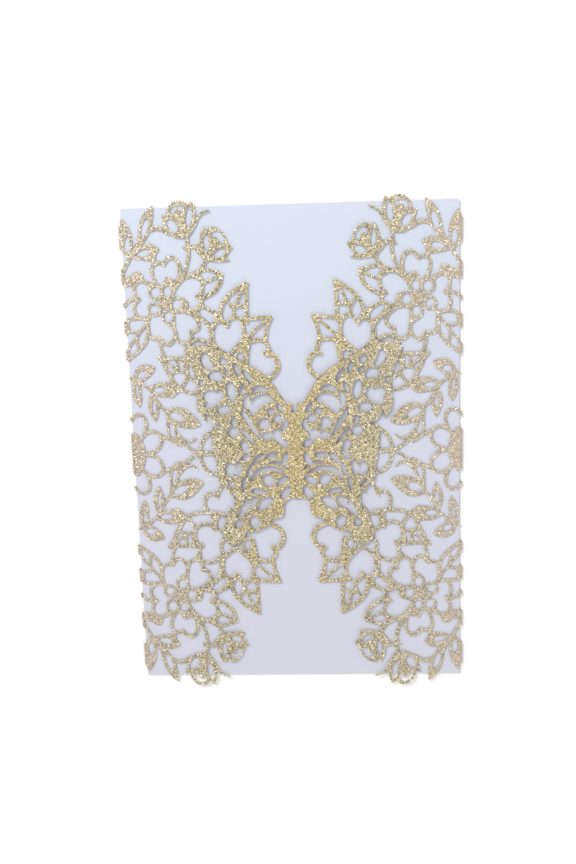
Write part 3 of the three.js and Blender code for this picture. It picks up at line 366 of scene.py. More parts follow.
def inner_sprays():
    """Leaf sprays between the folded edge and the butterfly."""
    return [
        bar([[12.8, 42.2], [12.8, 39.8], [13.3, 37.6], [14.2, 35.2]]),
        bar([[11.9, 35.3], [14.5, 35.2], [18, 35.2], [21.9, 35.4]]),
        bar([[12, 35.6], [13.6, 33.2], [14.9, 30.2], [16.4, 27.6], [17.6, 25.2]], 1.2),
        vein([[13.8, 34.4], [16.4, 32.3], [19.2, 30.4]]),
        vein([[18.4, 35], [18.5, 31]]),
        vein([[15.6, 29], [17.4, 30.2], [19.4, 30.4], [21.8, 29.8]]),
        bar([[21.7, 35.2], [20.8, 33.6], [21.3, 31.4], [21.9, 29.2], [21.2, 26.8], [19.4, 24.6]]),
        plate([[[7.4, 24], [9.2, 25.6], [12, 26.5], [14.8, 26.4]], [[16.2, 27.4], [18, 25.6],
            [19.8, 24.2]], [[17.8, 22.4], [16, 21], [13.6, 21.2], [10.6, 21.6], [8.4, 22.6]]],
            [[[8.7, 23.9], [10.2, 24.9], [12.2, 24.9], [13.9, 24], [12.8, 22.8], [10.4, 22.7]]]),
        bar([[18.8, 24.2], [21, 23], [24, 22.4], [28, 22.4], [32, 22.9]]),
        bar([[27, 22.4], [26.2, 20.4], [25.9, 18.4], [26.5, 16.2], [28.2, 15.2], [30.6, 15.3]]),
        bar([[30.5, 16.4], [31.2, 14.4], [32.3, 12.4], [32.6, 9]]),
        plate([[[13.2, 15.9], [15.6, 17], [18.4, 17.2], [21, 16.2], [23.6, 13.8]], [[26, 10.9], [24, 9.9],
            [21.2, 9.6], [18.2, 10.2], [15.6, 11.4], [13.6, 12.8]]], [[[14.3, 14.6], [15.6, 15.7],
            [17.8, 15.3], [19.7, 13.6], [19.6, 12.2], [17.8, 11.9], [15.6, 12.9]]]),
        vein([[14, 13.4], [13.8, 10.4], [14, 7.4], [14.8, 5]]),
        vein([[15.3, 12.2], [16.2, 9.6], [17.2, 6.4]]),
        plate([[[14.2, 5.8], [15.6, 4]], [[17.8, 2.7], [19.4, 4.6], [18.6, 6.4], [17.2, 7.6], [16, 6]]]),
        bar([[17.8, 5.8], [19.8, 4.8], [22, 4.5], [23.9, 5.8]], LINE_WIDTH, 0.5),
        bar([[18.6, 4.6], [20.8, 2.4], [23.2, 0.8], [25.2, 0]]),
        bar([[11, 7], [12.6, 6.2], [14.6, 5.6]]),
        bar([[25.2, 0], [25.5, 3], [26.9, 5.8], [28.9, 7.5], [31.6, 8.2]], 1.15),
        bar([[24.4, 0], [31.5, 0]], 1.5),
    ]


# Half of the butterfly, in x from the middle of its body and y from the middle of the wrap
HALF_BUTTERFLY_OUTLINE = [
    [[0, 13.5]],
    [[1, 13.5]],
    [[1.05, 17]],
    [[2.4, 17]],
    [[3, 16.4], [5.6, 20.6], [8.6, 25.2], [12, 28.4], [17, 31.6], [22, 34.4], [26.5, 36.8], [31, 38.2],
        [35.5, 38.3]],
    [[38.7, 36.8], [37.6, 33], [36, 29.6], [35, 26], [34.6, 21.5], [35.1, 17.4], [34.6, 14],
        [32.4, 11.2]],
    [[29.6, 9.2], [30.2, 6], [30.1, 2], [29.6, -2], [28.8, -6], [28.5, -9.6]],
    [[28.2, -11.6], [26.2, -13.6], [24.6, -16.4], [24.2, -19.4], [24.9, -22.6], [26, -26], [27.3, -30],
        [27.6, -32.6], [26.8, -34.8], [24.4, -36.2], [21.6, -35.2], [19.8, -32.8]],
    [[19, -31.2], [15.6, -31], [12.8, -29.8]],
    [[10.4, -28.2]],
    [[10.2, -26.8], [8, -26], [5.8, -25.4], [4.9, -23.2], [4.9, -21], [4, -19.4]],
    [[1.8, -18.2]],
    [[0, -18.8]],
]

# Openings of the right wing, in x and y from the middle of the wrap
WING_OPENINGS = [
    [[7.6, 19.4], [9.6, 21.3], [12.6, 21.4], [15, 19.6], [16.2, 16.8], [16, 14.6], [14.2, 14.8],
        [12.8, 16.4], [10.6, 18.2], [8.4, 18.8]],
    [[9.3, 22.8], [10.6, 24.2], [12.6, 24.8], [14.6, 23.8], [14.8, 22.2], [12.8, 23], [10.8, 22.9]],
    [[4.2, 14.9], [4.8, 17.2], [6.2, 18.2], [6.3, 17.2], [5.2, 15.4]],
    [[4.6, 12.8], [5.4, 14], [7, 14], [7.8, 12.8], [7.4, 11.4], [5.8, 11.2]],
    [[2.9, 12], [3.8, 12.6], [4.2, 10.8], [5, 9.6], [4.4, 8.3], [3.2, 8.8]],
    [[9.9, 12.7], [11.8, 12.5], [13.3, 11], [12.6, 9.4], [10.8, 9], [8.9, 9.6], [9.6, 11.2]],
    [[5.2, 8.2], [7.6, 8.5], [8.3, 7], [8, 5.2], [6.2, 5], [5.2, 6.2]],
    [[9.4, 7.7], [11.4, 7.6], [12.2, 6.6], [11, 5], [9.3, 5.1]],
    [[3.2, 4.2], [4.4, 4.9], [6.6, 4.5], [5.6, 3], [4, 2], [3, 2.4]],
    [[18.9, 16.2], [19.2, 14.8], [17.2, 11], [14.8, 7.4], [12.6, 5.3], [13.6, 7.6], [15.4, 10.8],
        [17.2, 13.8]],
    [[19.8, 9], [18.6, 7], [16.6, 4.6], [14.9, 3.4], [16.2, 5.6], [18, 8]],
    [[16.2, 22.2], [17.2, 21.8], [18.3, 19.8], [18.2, 17.2], [17, 16.6], [16.5, 19]],
    [[15.2, 27], [16.4, 29.4], [18, 30.6], [18.1, 29.6], [16.8, 27.8], [15.6, 25.6]],
    [[18, 25.6], [19.2, 24.2], [19.7, 21.8], [18.9, 21.6], [18.1, 23.4]],
    [[21.3, 24], [22.4, 26.1], [23.8, 26], [24.1, 23], [23.4, 20.2], [22.2, 19.3], [21.2, 20.8]],
    [[25.7, 28.4], [26.8, 30.1], [29, 30.2], [30.4, 28.9], [29.8, 27], [28.2, 27.3], [26.4, 26.4]],
    [[30.3, 35.2], [30.8, 36.6], [32, 36.8], [32.8, 35.2], [32.5, 33], [31.2, 31.6], [29.6, 31],
        [28.8, 32.2], [29.8, 33.6]],
    [[23.6, 34], [24.8, 34.9], [26.2, 34.7], [26, 33], [24.6, 32.3]],
    [[26, 22], [26.8, 23.7], [28, 22.4], [29.6, 20.2], [31.8, 19.1], [32.4, 17.8], [30.6, 17.1],
        [28.6, 18.2], [26.6, 19.7], [25.8, 20.6]],
    [[28.4, 22.6], [29.6, 23.2], [31.4, 23.1], [32.7, 21.6], [32.2, 20.2], [30.4, 20.2], [29.2, 21]],
    [[22.9, 16.4], [23.9, 17.7], [26, 17.8], [27.8, 16.9], [27.8, 15.6], [26.4, 14.8], [24.4, 14.9],
        [23.3, 15.5]],
    [[21.3, 10.8], [21.6, 12.6], [22.3, 13.4], [23.2, 11.8], [22.6, 10.7]],
    [[20.5, 8.3], [21.6, 9.6], [23.4, 9.4], [24.3, 8], [23.7, 6.5], [22, 6.1], [20.7, 6.9]],
    [[27.4, 10.3], [29.4, 11.3], [31, 13], [31.9, 14.8], [31.8, 12.8], [30.4, 10.8], [28.6, 9.9]],
    [[32.8, 26.8], [33.8, 27.3], [34, 25.7], [33.2, 25]],
    [[17.3, 3], [18.2, 4.6], [19.6, 4.2], [19.9, 2.1], [19, 0.9], [17.6, 1.1]],
    [[3, -1.4], [3.3, 0.1], [4.2, -0.6], [5.2, -2.7], [4.6, -4], [3.5, -3.4]],
    [[6.8, -0.7], [8.6, 0], [10.4, -0.4], [11.3, -2], [9.6, -1.9], [7.8, -1.7]],
    [[11.8, -0.3], [13.5, -0.6], [15, -2], [15.7, -4.1], [14.6, -3.6], [13.2, -2.2]],
    [[16.2, 0.4], [17.6, 0.3], [19.4, -0.9], [19.8, -2.1], [18.6, -2.6], [17.4, -1.3]],
    [[20.2, -3.6], [21.3, -3.2], [22.2, -5.6], [22, -8.4], [21, -8.7], [20.4, -6.4]],
    [[23.1, -4.2], [24.6, -3.7], [25.5, -4.8], [25.7, -7.4], [24.4, -8.5], [23.2, -8.9], [23.1, -6.6]],
    [[16.2, -4.2], [17, -4.8], [18, -7], [18.2, -8.8], [17.3, -8], [16.5, -6]],
    [[4.4, -7.6], [6.4, -6], [9, -5.1], [12, -5.2], [14.6, -6.4], [16.4, -8.6], [16.8, -10.2],
        [15.2, -8.8], [13.4, -7.4], [11, -6.7], [8.4, -6.7], [6, -7.3]],
    [[8.4, -9.7], [10, -8.3], [11.8, -8.3], [12.6, -9.8], [11.7, -11.6], [10.2, -12.6], [8.9, -12.2],
        [8.3, -11]],
    [[3.2, -9], [5.2, -9.1], [6.5, -10.2], [7.3, -11.9], [6.4, -12.3], [4.6, -11], [3.2, -10.2]],
    [[2.7, -12.7], [3.7, -13.1], [5.2, -14.5], [6.1, -16], [5.4, -17.2], [3.8, -16.7], [2.7, -15.3]],
    [[11.4, -14.6], [13.6, -13.6], [16.2, -13.5], [16.5, -14.8], [14.2, -15.2], [12, -15.6]],
    [[8.9, -17.2], [10.6, -16.8], [12.8, -17.4], [14.2, -19.4], [14.8, -21.2], [13.4, -21.5], [11, -20.3],
        [9.6, -19]],
    [[14.5, -17.1], [16.1, -16.7], [17.5, -18.6], [17.9, -20.9], [16.8, -20.9], [15.6, -19.2]],
    [[20.1, -19.4], [21.2, -21.6], [22.1, -23.9], [20.9, -24], [20, -22]],
    [[20.8, -25.5], [22.8, -25.5], [23.1, -27.5], [21.7, -28.1], [20.7, -27]],
    [[13.9, -26.1], [15.1, -24.5], [16.7, -23.9], [17.6, -25], [17.4, -27.3], [16, -28.3], [14.5, -27.6]],
    [[23.2, -12.8], [24.2, -11], [25.4, -9.9], [24.9, -11.6], [23.8, -13]],
    [[18.7, -9.6], [19.5, -9.4], [20, -12], [19.7, -14.6], [19, -12.2]],
    [[18.6, -16.4], [19.2, -17.6], [19.4, -20.8], [19, -23.6], [18.6, -20]],
    [[23.6, -15.2], [24.3, -15.6], [24.5, -18.8], [23.9, -21.6], [23.4, -18.8]],
    [[2.9, -6.2], [5, -4.7], [8, -3.8], [10.2, -3.9], [8, -3.2], [5, -4]],
    [[19.4, 30.2], [20.6, 32.8], [21.4, 32.4], [20.8, 30.2], [20, 28.6]],
    [[23.2, 29.8], [24.3, 31], [24.9, 30], [23.9, 28.9]],
    [[7, 15.2], [8.2, 16.4], [9.8, 16], [9.4, 14.6], [9, 13.4], [8.4, 14.8]],
]


def edge_terms(x, y, start, end):
    """Squared distance to one edge, how far along it, and whether a ray to the right crosses it."""
    edge = end - start
    across_x = x - start[0]
    across_y = y - start[1]
    along = np.clip((across_x * edge[0] + across_y * edge[1]) / max(edge @ edge, 1e-12), 0, 1)
    squared = (across_x - along * edge[0]) ** 2 + (across_y - along * edge[1]) ** 2
    crossed = np.zeros(x.shape, dtype=bool)
    if start[1] != end[1]:
        meets = start[0] + edge[0] * across_y / edge[1]
        crossed = ((start[1] > y) != (end[1] > y)) & (x < meets)
    return squared, along, crossed


def loop_distance(x, y, loop):
    """Distance from a closed outline, negative inside it."""
    nearest = np.full(x.shape, np.inf)
    inside = np.zeros(x.shape, dtype=bool)
    for start, end in zip(loop, np.roll(loop, -1, axis=0)):
        squared, along, crossed = edge_terms(x, y, start, end)
        nearest = np.minimum(nearest, squared)
        inside ^= crossed
    return np.where(inside, -1, 1) * np.sqrt(nearest)


def bar_distance(x, y, path, halves):
    """Distance from a bar's edge, negative inside it."""
    nearest = np.full(x.shape, np.inf)
    for index in range(len(path) - 1):
        squared, along, crossed = edge_terms(x, y, path[index], path[index + 1])
        half = halves[index] + along * (halves[index + 1] - halves[index])
        nearest = np.minimum(nearest, np.sqrt(squared) - half)
    return nearest


def joined(one, other):
    """Union of two distance fields, with a fillet where they meet."""
    close = np.maximum(CORNER_BLEND - np.abs(one - other), 0) / CORNER_BLEND
    return np.minimum(one, other) - close * close * CORNER_BLEND / 4


class Drawing:
    """Field of distances from the lace over a grid of points: negative where there is card."""

    def __init__(self, left, bottom, right, top, step):
        columns = int(round((right - left) / step)) + 1
        rows = int(round((top - bottom) / step)) + 1
        self.x = left + step * np.arange(columns)
        self.y = bottom + step * np.arange(rows)
        self.field = np.full((rows, columns), EMPTY)

    def window(self, around, margin):
        """Slices of the grid, with its coordinates, within a margin around some points."""
        low = around.min(axis=0) - margin
        high = around.max(axis=0) + margin
        columns = slice(*np.searchsorted(self.x, [low[0], high[0]]))
        rows = slice(*np.searchsorted(self.y, [low[1], high[1]]))
        x, y = np.meshgrid(self.x[columns], self.y[rows])
        return (rows, columns), x, y

    def add(self, motif, shift=(0, 0)):
        """Joins a bar or plate to the drawing."""
        place, x, y = self.window(motif["around"] + shift, 2)
        x = x - shift[0]
        y = y - shift[1]
        if "path" in motif:
            distance = bar_distance(x, y, motif["path"], motif["halves"])
        else:
            distance = loop_distance(x, y, motif["outline"])
            for opening in motif["openings"]:
                distance = np.maximum(distance, motif.get("growth", 0) - loop_distance(x, y, opening))
        self.field[place] = joined(self.field[place], distance)

    def cut(self, loop, keep=0):
        """Cuts the inside of an outline away, but for a rim of the given width."""
        place, x, y = self.window(loop, 1)
        self.field[place] = np.maximum(self.field[place], -(loop_distance(x, y, loop) + keep))


def rectangle(left, bottom, right, top):
    """Closed outline of a rectangle."""
    return np.array([[left, bottom], [right, bottom], [right, top], [left, top]], dtype=float)


def butterfly():
    """The whole butterfly as one plate, about the middle of its body."""
    half = cornered_loop(HALF_BUTTERFLY_OUTLINE)
    half = half[half[:, 0] > 0]
    mirrored = (half * (-1, 1))[::-1]
    head = HALF_BUTTERFLY_OUTLINE[0]
    tail = HALF_BUTTERFLY_OUTLINE[-1]
    outline = np.vstack([half, tail, mirrored, head])
    openings = [smooth_line(loop, True) - BUTTERFLY_SHIFT for loop in WING_OPENINGS]
    openings += [loop * (-1, 1) for loop in openings]
    return {"outline": outline, "openings": openings, "around": outline, "growth": OPENING_GROWTH}


def gate_drawing(step, slit_bottom, slit_top):
    """Drawing of the left gate laid flat, with the slit in its butterfly."""
    rows = int(DRAWN_HEIGHT / step)
    left = -WRAP_WIDTH / 2 - DRAWN_PAST_FOLD
    quarter = Drawing(left, 0, 0, rows * step, step)
    motifs = folded_edge_sprays() + rosebuds() + large_flower() + free_edge_sprays() + inner_sprays()
    for motif in motifs:
        quarter.add(motif, (-WRAP_WIDTH / 2, 0))
    whole = Drawing(left, -rows * step, DRAWN_PAST_MIDDLE, rows * step, step)
    width = len(quarter.x)
    whole.field[rows:, :width] = quarter.field
    whole.field[:rows + 1, :width] = quarter.field[::-1]
    wings = butterfly()
    whole.cut(wings["outline"] + BUTTERFLY_SHIFT, BUTTERFLY_OVERLAP)
    whole.add(wings, BUTTERFLY_SHIFT)
    whole.cut(rectangle(-SLIT_HALF_WIDTH, slit_bottom, SLIT_HALF_WIDTH, slit_top))
    whole.field = np.maximum(whole.field, -FOLD_X - whole.x[None, :])
    return whole


# Turning a drawing into a sheet

# Lines across a cell of the grid, from edge to edge, for each set of its corners that lie inside. Corners
# run from the lower left, against the clock, and each edge is named by the corner that it starts from.
CELL_LINES = {
    1: ((3, 0),), 2: ((0, 1),), 3: ((3, 1),), 4: ((1, 2),), 5: ((3, 0), (1, 2)),
    6: ((0, 2),), 7: ((3, 2),), 8: ((2, 3),), 9: ((2, 0),), 10: ((0, 1), (2, 3)),
    11: ((2, 1),), 12: ((1, 3),), 13: ((1, 0),), 14: ((0, 3),),
}


def cell_edge(row, column, edge):
    """Name of a cell's edge that its neighbour gives it too: the lower or left end, and the direction."""
    return ((row, column, 0), (row, column + 1, 1), (row + 1, column, 0), (row, column, 1))[edge]


def traced_loops(drawing):
    """Closed outlines where the drawing's distance is nought."""
    field = drawing.field
    inside = field < 0
    kinds = (inside[:-1, :-1] * 1 + inside[:-1, 1:] * 2 + inside[1:, 1:] * 4 + inside[1:, :-1] * 8)
    following = {}
    for row, column in np.argwhere((kinds > 0) & (kinds < 15)):
        for start, end in CELL_LINES[int(kinds[row, column])]:
            following[cell_edge(row, column, start)] = cell_edge(row, column, end)
    loops = []
    while following:
        first = next(iter(following))
        edge = first
        loop = []
        while edge in following:
            loop.append(edge_point(drawing, edge))
            edge = following.pop(edge)
        loops.append(thinned(np.array(loop)))
    return [loop for loop in loops if len(loop) >= SHORTEST_LOOP]


def edge_point(drawing, edge):
    """Where the outline crosses an edge of the grid."""
    row, column, upright = edge
    low = drawing.field[row, column]
    if upright:
        share = low / (low - drawing.field[row + 1, column])
        return drawing.x[column], drawing.y[row] + share * (drawing.y[row + 1] - drawing.y[row])
    share = low / (low - drawing.field[row, column + 1])
    return drawing.x[column] + share * (drawing.x[column + 1] - drawing.x[column]), drawing.y[row]


def thinned(loop):
    """Leaves out points that lie within the slack of a straight stretch."""
    for turn in range(THINNING_TURNS):
        if len(loop) < 1.5 * SHORTEST_LOOP:
            break
        before = np.roll(loop, 1, axis=0)
        after = np.roll(loop, -1, axis=0)
        chord = after - before
        aside = loop - before
        area = np.abs(chord[:, 0] * aside[:, 1] - chord[:, 1] * aside[:, 0])
        near = area / np.maximum(np.linalg.norm(chord, axis=1), 1e-6) < OUTLINE_SLACK
        near[turn % 2::2] = False
        loop = loop[~near]
    return loop


def sheet_mesh(name, loops, thickness):
    """Flat sheet with the outlines as its edge and openings, lying on Z = 0, in millimetres."""
    curve = bpy.data.curves.new(name, "CURVE")
    curve.dimensions = "2D"
    curve.fill_mode = "BOTH"
    curve.extrude = thickness / 2
    for loop in loops:
        spline = curve.splines.new("POLY")
        spline.points.add(len(loop) - 1)
        flat = np.column_stack([loop, np.zeros(len(loop)), np.ones(len(loop))])
        spline.points.foreach_set("co", flat.ravel())
        spline.use_cyclic_u = True
    holder = bpy.data.objects.new(name, curve)
    bpy.context.scene.collection.objects.link(holder)
    graph = bpy.context.evaluated_depsgraph_get()
    mesh = bpy.data.meshes.new_from_object(holder.evaluated_get(graph))
    bpy.data.objects.remove(holder)
    bpy.data.curves.remove(curve)
    shaped = bmesh.new()
    shaped.from_mesh(mesh)
    bmesh.ops.remove_doubles(shaped, verts=shaped.verts, dist=MERGE_DISTANCE)
    bmesh.ops.dissolve_degenerate(shaped, edges=shaped.edges, dist=MERGE_DISTANCE)
    bmesh.ops.triangulate(shaped, faces=shaped.faces)
    bmesh.ops.recalc_face_normals(shaped, faces=shaped.faces)
    shaped.to_mesh(mesh)
    shaped.free()
    mesh.name = name
    mesh.materials.clear()
    return mesh


def points_of(mesh):
    """The mesh's points as rows of X, Y and Z."""
    points = np.empty(3 * len(mesh.vertices))
    mesh.vertices.foreach_get("co", points)
    return points.reshape(-1, 3)


def set_points(mesh, points):
    """Moves the mesh's points."""
    mesh.vertices.foreach_set("co", np.ascontiguousarray(points, dtype=float).ravel())
    mesh.update()


def kept_in_box(points):
    """Points in metres, held inside the solid model's box."""
    return np.clip(points, np.array(CAD_BOX[0]), np.array(CAD_BOX[1]))


def mirrored_mesh(mesh):
    """Turns a mesh into its mirror image across X."""
    set_points(mesh, points_of(mesh) * (-1, 1, 1))
    mesh.flip_normals()


def gate_height(x, y, rise):
    """Height of the left gate's underside, as it lifts off the card, waves and crosses the other gate."""
    aside = np.abs(x)
    inward = np.clip((FOLD_X - aside) / RISE_LENGTH, 0, 1)
    lift = rise * inward ** 2 * (3 - 2 * inward)
    crossing = LAYER_PITCH * np.clip((x / CROSSING_HALF_WIDTH + 1) / 2, 0, 1)
    loose = np.clip((FOLD_X - aside) / WAVE_FREE_LENGTH, 0, 1)
    wave = WAVE_HEIGHT * loose * np.sin(aside / 7.3 + y / 9.1) * np.cos(y / 12.7 + 0.6)
    return GATE_LEVEL + lift + crossing + wave


def place_piece(name, mesh, material):
    """Makes an object of the mesh, and says what it rides on and takes its finish from."""
    piece = bpy.data.objects.new(name, mesh)
    bpy.context.scene.collection.objects.link(piece)
    mesh.materials.append(material)
    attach(piece, "root")
    return piece


# Materials

def linear(code):
    """Linear colour of an sRGB hex value."""
    color = []
    for index in (0, 2, 4):
        share = int(code[index:index + 2], 16) / 255
        color.append(share / 12.92 if share <= 0.04045 else ((share + 0.055) / 1.055) ** 2.4)
    return color + [1]


def add_node(tree, kind, values=None, **facts):
    """Adds a node, sets its facts, and sets or links its inputs by name or place."""
    node = tree.nodes.new(kind)
    for name, fact in facts.items():
        setattr(node, name, fact)
    for name, value in (values or {}).items():
        if isinstance(value, bpy.types.NodeSocket):
            tree.links.new(value, node.inputs[name])
        else:
            node.inputs[name].default_value = value
    return node


def new_material(name):
    """A material with its node tree and its surface shader."""
    material = bpy.data.materials.new(name)
    material.use_nodes = True
    tree = material.node_tree
    tree.nodes.clear()
    surface = tree.nodes.new("ShaderNodeBsdfPrincipled")
    output = tree.nodes.new("ShaderNodeOutputMaterial")
    tree.links.new(surface.outputs["BSDF"], output.inputs["Surface"])
    return material, tree, surface


def shaded(tree, factor, stops):
    """Colour that a value picks between stops of place and hex value."""
    ramp = add_node(tree, "ShaderNodeValToRGB", {"Fac": factor})
    while len(ramp.color_ramp.elements) < len(stops):
        ramp.color_ramp.elements.new(1)
    for element, (place, code) in zip(ramp.color_ramp.elements, stops):
        element.position = place
        element.color = linear(code)
    return ramp.outputs["Color"]


# Gold glitter from its shaded grains to the few that flash: painted shade and painted glints, picked at
# random for each grain or flake
GLITTER_SHADE_AND_GLINT_STOPS = ((0, "6a634d"), (0.3, "938a6b"), (0.6, "b2a886"), (0.85, "d0c7a9"), (1, "fff8e6"))

# Pale card from its foot to its head: its own pale tone, with painted light that makes it lighter towards the
# head
CARD_TONE_AND_PAINTED_LIGHT_STOPS = ((0, "c9cad5"), (0.5, "cbcdda"), (1, "cdd3e1"))


def tinted_gold(tree, position, gold):
    """Gold that is warmest down the middle and turns to a greyish tan towards the folded edges."""
    across = add_node(tree, "ShaderNodeSeparateXYZ", {0: position}).outputs[0]
    aside = add_node(tree, "ShaderNodeMath", {0: across}, operation="ABSOLUTE").outputs[0]
    for start, end, first, last, tint in ((0.0, 28, 0.3, 0.0, "c8ab66"), (26, 58, 0.0, 0.6, "bfb2a6")):
        share = add_node(tree, "ShaderNodeMapRange", {
            "Value": aside, "From Min": start * MM, "From Max": end * MM, "To Min": first, "To Max": last})
        gold = add_node(tree, "ShaderNodeMix", {0: share.outputs[0], 6: gold, 7: linear(tint)},
                        data_type="RGBA").outputs[2]
    return gold


def glitter_material(name, outward):
    """Stiff card coated with gold glitter: every grain has its own tilt, and its own painted shade or painted
    glint, so that it sparkles.

    Either the side that faces up (1) or down (-1) is coated, and plain cream card shows on the rest, or all
    of it is coated (0). Grains are drawn coarser than real ones, which would be too fine to show.
    """
    material, tree, surface = new_material(name)
    position = tree.nodes.new("ShaderNodeTexCoord").outputs["Object"]
    grains = add_node(tree, "ShaderNodeTexVoronoi", {"Vector": position, "Scale": 1 / (GLITTER_GRAIN * MM)})
    grain = grains.outputs["Color"]
    shade = add_node(tree, "ShaderNodeSeparateColor", {0: grain}).outputs[0]
    # Painted shade and painted glints: each grain's colour is picked at random from dark to near white
    gold = tinted_gold(tree, position, shaded(tree, shade, GLITTER_SHADE_AND_GLINT_STOPS))
    normal = tree.nodes.new("ShaderNodeNewGeometry").outputs["Normal"]
    upward = add_node(tree, "ShaderNodeSeparateXYZ", {0: normal}).outputs[2]
    facing = add_node(tree, "ShaderNodeMath", {0: upward, 1: float(outward)}, operation="MULTIPLY")
    least = 0.5 if outward else -1.0
    coated = add_node(tree, "ShaderNodeMath", {0: facing.outputs[0], 1: least},
                      operation="GREATER_THAN").outputs[0]
    color = add_node(tree, "ShaderNodeMix", {0: coated, 6: linear("e9dfc6"), 7: gold}, data_type="RGBA")
    tree.links.new(color.outputs[2], surface.inputs["Base Color"])
    tilt = grain
    for operation, values in (("SUBTRACT", {1: (0.5, 0.5, 0.5)}), ("SCALE", {"Scale": 0.75}),
                              ("ADD", {1: normal}), ("NORMALIZE", {})):
        tilt = add_node(tree, "ShaderNodeVectorMath", {0: tilt, **values}, operation=operation).outputs[0]
    tree.links.new(tilt, surface.inputs["Normal"])
    metal = add_node(tree, "ShaderNodeMath", {0: coated, 1: 0.6}, operation="MULTIPLY").outputs[0]
    tree.links.new(metal, surface.inputs["Metallic"])
    surface.inputs["Roughness"].default_value = 0.38
    return material


def flake_material():
    """Metallised film cut to flakes: shinier than the coat under them, each with its own brightness, which is
    painted shade or a painted glint.
    """
    material, tree, surface = new_material("glitter_flakes")
    shade = add_node(tree, "ShaderNodeAttribute", attribute_name="flake_shade").outputs["Fac"]
    position = tree.nodes.new("ShaderNodeTexCoord").outputs["Object"]
    gold = tinted_gold(tree, position, shaded(tree, shade, GLITTER_SHADE_AND_GLINT_STOPS))
    tree.links.new(gold, surface.inputs["Base Color"])
    surface.inputs["Metallic"].default_value = 0.8
    surface.inputs["Roughness"].default_value = 0.28
    return material


def paper_material():
    """Smooth coated card: a faint pearl sheen, a soft unevenness and a grain that is barely seen."""
    material, tree, surface = new_material("pale_card")
    position = tree.nodes.new("ShaderNodeTexCoord").outputs["Object"]
    normal = None
    for size, detail, depth, strength in ((CARD_UNEVENNESS, 2.0, 1.1, 1.0), (CARD_GRAIN, 3.0, 0.01, 0.5)):
        noise = add_node(tree, "ShaderNodeTexNoise", {
            "Vector": position, "Scale": 1 / (size * MM), "Detail": detail})
        bump = add_node(tree, "ShaderNodeBump", {
            "Height": noise.outputs["Fac"], "Distance": depth * MM, "Strength": strength})
        if normal is not None:
            tree.links.new(normal, bump.inputs["Normal"])
        normal = bump.outputs["Normal"]
    tree.links.new(normal, surface.inputs["Normal"])
    # Painted light: the card's colour grows lighter from its foot to its head
    up = add_node(tree, "ShaderNodeSeparateXYZ", {0: position}).outputs[1]
    edge = PANEL_HEIGHT / 2 * MM
    share = add_node(tree, "ShaderNodeMapRange", {"Value": up, "From Min": -edge, "From Max": edge})
    tree.links.new(shaded(tree, share.outputs[0], CARD_TONE_AND_PAINTED_LIGHT_STOPS), surface.inputs["Base Color"])
    surface.inputs["Roughness"].default_value = 0.5
    surface.inputs["Sheen Weight"].default_value = 0.1
    return material


# Flakes of glitter

def flake_tree():
    """Geometry nodes that scatter tilted flakes over the faces that look up, with a shade for each."""
    tree = bpy.data.node_groups.new("glitter_flakes", "GeometryNodeTree")
    face = tree.interface
    face.new_socket("Geometry", in_out="INPUT", socket_type="NodeSocketGeometry")
    for name, kind, value in (("Flakes per square metre", "NodeSocketFloat", 3e6),
                              ("Flake radius", "NodeSocketFloat", 0.0002),
                              ("Tilt", "NodeSocketFloat", 0.5),
                              ("Lift", "NodeSocketFloat", 0.00003),
                              ("Seed", "NodeSocketInt", 7)):
        face.new_socket(name, in_out="INPUT", socket_type=kind).default_value = value
    face.new_socket("Material", in_out="INPUT", socket_type="NodeSocketMaterial")
    face.new_socket("Geometry", in_out="OUTPUT", socket_type="NodeSocketGeometry")
    given = tree.nodes.new("NodeGroupInput").outputs
    normal = tree.nodes.new("GeometryNodeInputNormal").outputs[0]
    upward = add_node(tree, "ShaderNodeSeparateXYZ", {0: normal}).outputs[2]
    looks_up = add_node(tree, "FunctionNodeCompare", {0: upward, 1: 0.5}, operation="GREATER_THAN")
    points = add_node(tree, "GeometryNodeDistributePointsOnFaces", {
        "Mesh": given["Geometry"], "Selection": looks_up.outputs[0],
        "Density": given["Flakes per square metre"], "Seed": given["Seed"]})
    flake = add_node(tree, "GeometryNodeMeshCircle", {"Vertices": 4, "Radius": given["Flake radius"]},
                     fill_type="NGON")
    placed = add_node(tree, "GeometryNodeInstanceOnPoints", {
        "Points": points.outputs["Points"], "Instance": flake.outputs[0]}).outputs[0]
    limits = {"Seed": given["Seed"]}
    for index, (sign, spin) in enumerate(((-1.0, 0.0), (1.0, 2 * math.pi))):
        tilt = add_node(tree, "ShaderNodeMath", {0: given["Tilt"], 1: sign}, operation="MULTIPLY").outputs[0]
        limits[index] = add_node(tree, "ShaderNodeCombineXYZ", {0: tilt, 1: tilt, 2: spin}).outputs[0]
    turn = add_node(tree, "FunctionNodeRandomValue", limits, data_type="FLOAT_VECTOR").outputs[0]
    turned = add_node(tree, "GeometryNodeRotateInstances", {"Instances": placed, "Rotation": turn}).outputs[0]
    upshift = add_node(tree, "ShaderNodeCombineXYZ", {2: given["Lift"]}).outputs[0]
    lifted = add_node(tree, "GeometryNodeTranslateInstances", {
        "Instances": turned, "Translation": upshift, "Local Space": False}).outputs[0]
    # Painted shade or glint of each flake: a random value that the flakes' material turns into a colour from
    # dark to near white
    random = add_node(tree, "FunctionNodeRandomValue", data_type="FLOAT")
    shade = [output for output in random.outputs if output.enabled][0]
    stored = add_node(tree, "GeometryNodeStoreNamedAttribute", {"Geometry": lifted, "Name": "flake_shade"},
                      data_type="FLOAT", domain="INSTANCE")
    tree.links.new(shade, stored.inputs["Value"])
    real = add_node(tree, "GeometryNodeRealizeInstances", {0: stored.outputs[0]}).outputs[0]
    finished = add_node(tree, "GeometryNodeSetMaterial", {"Geometry": real, "Material": given["Material"]})
    output = tree.nodes.new("NodeGroupOutput")
    tree.links.new(finished.outputs[0], output.inputs[0])
    return tree


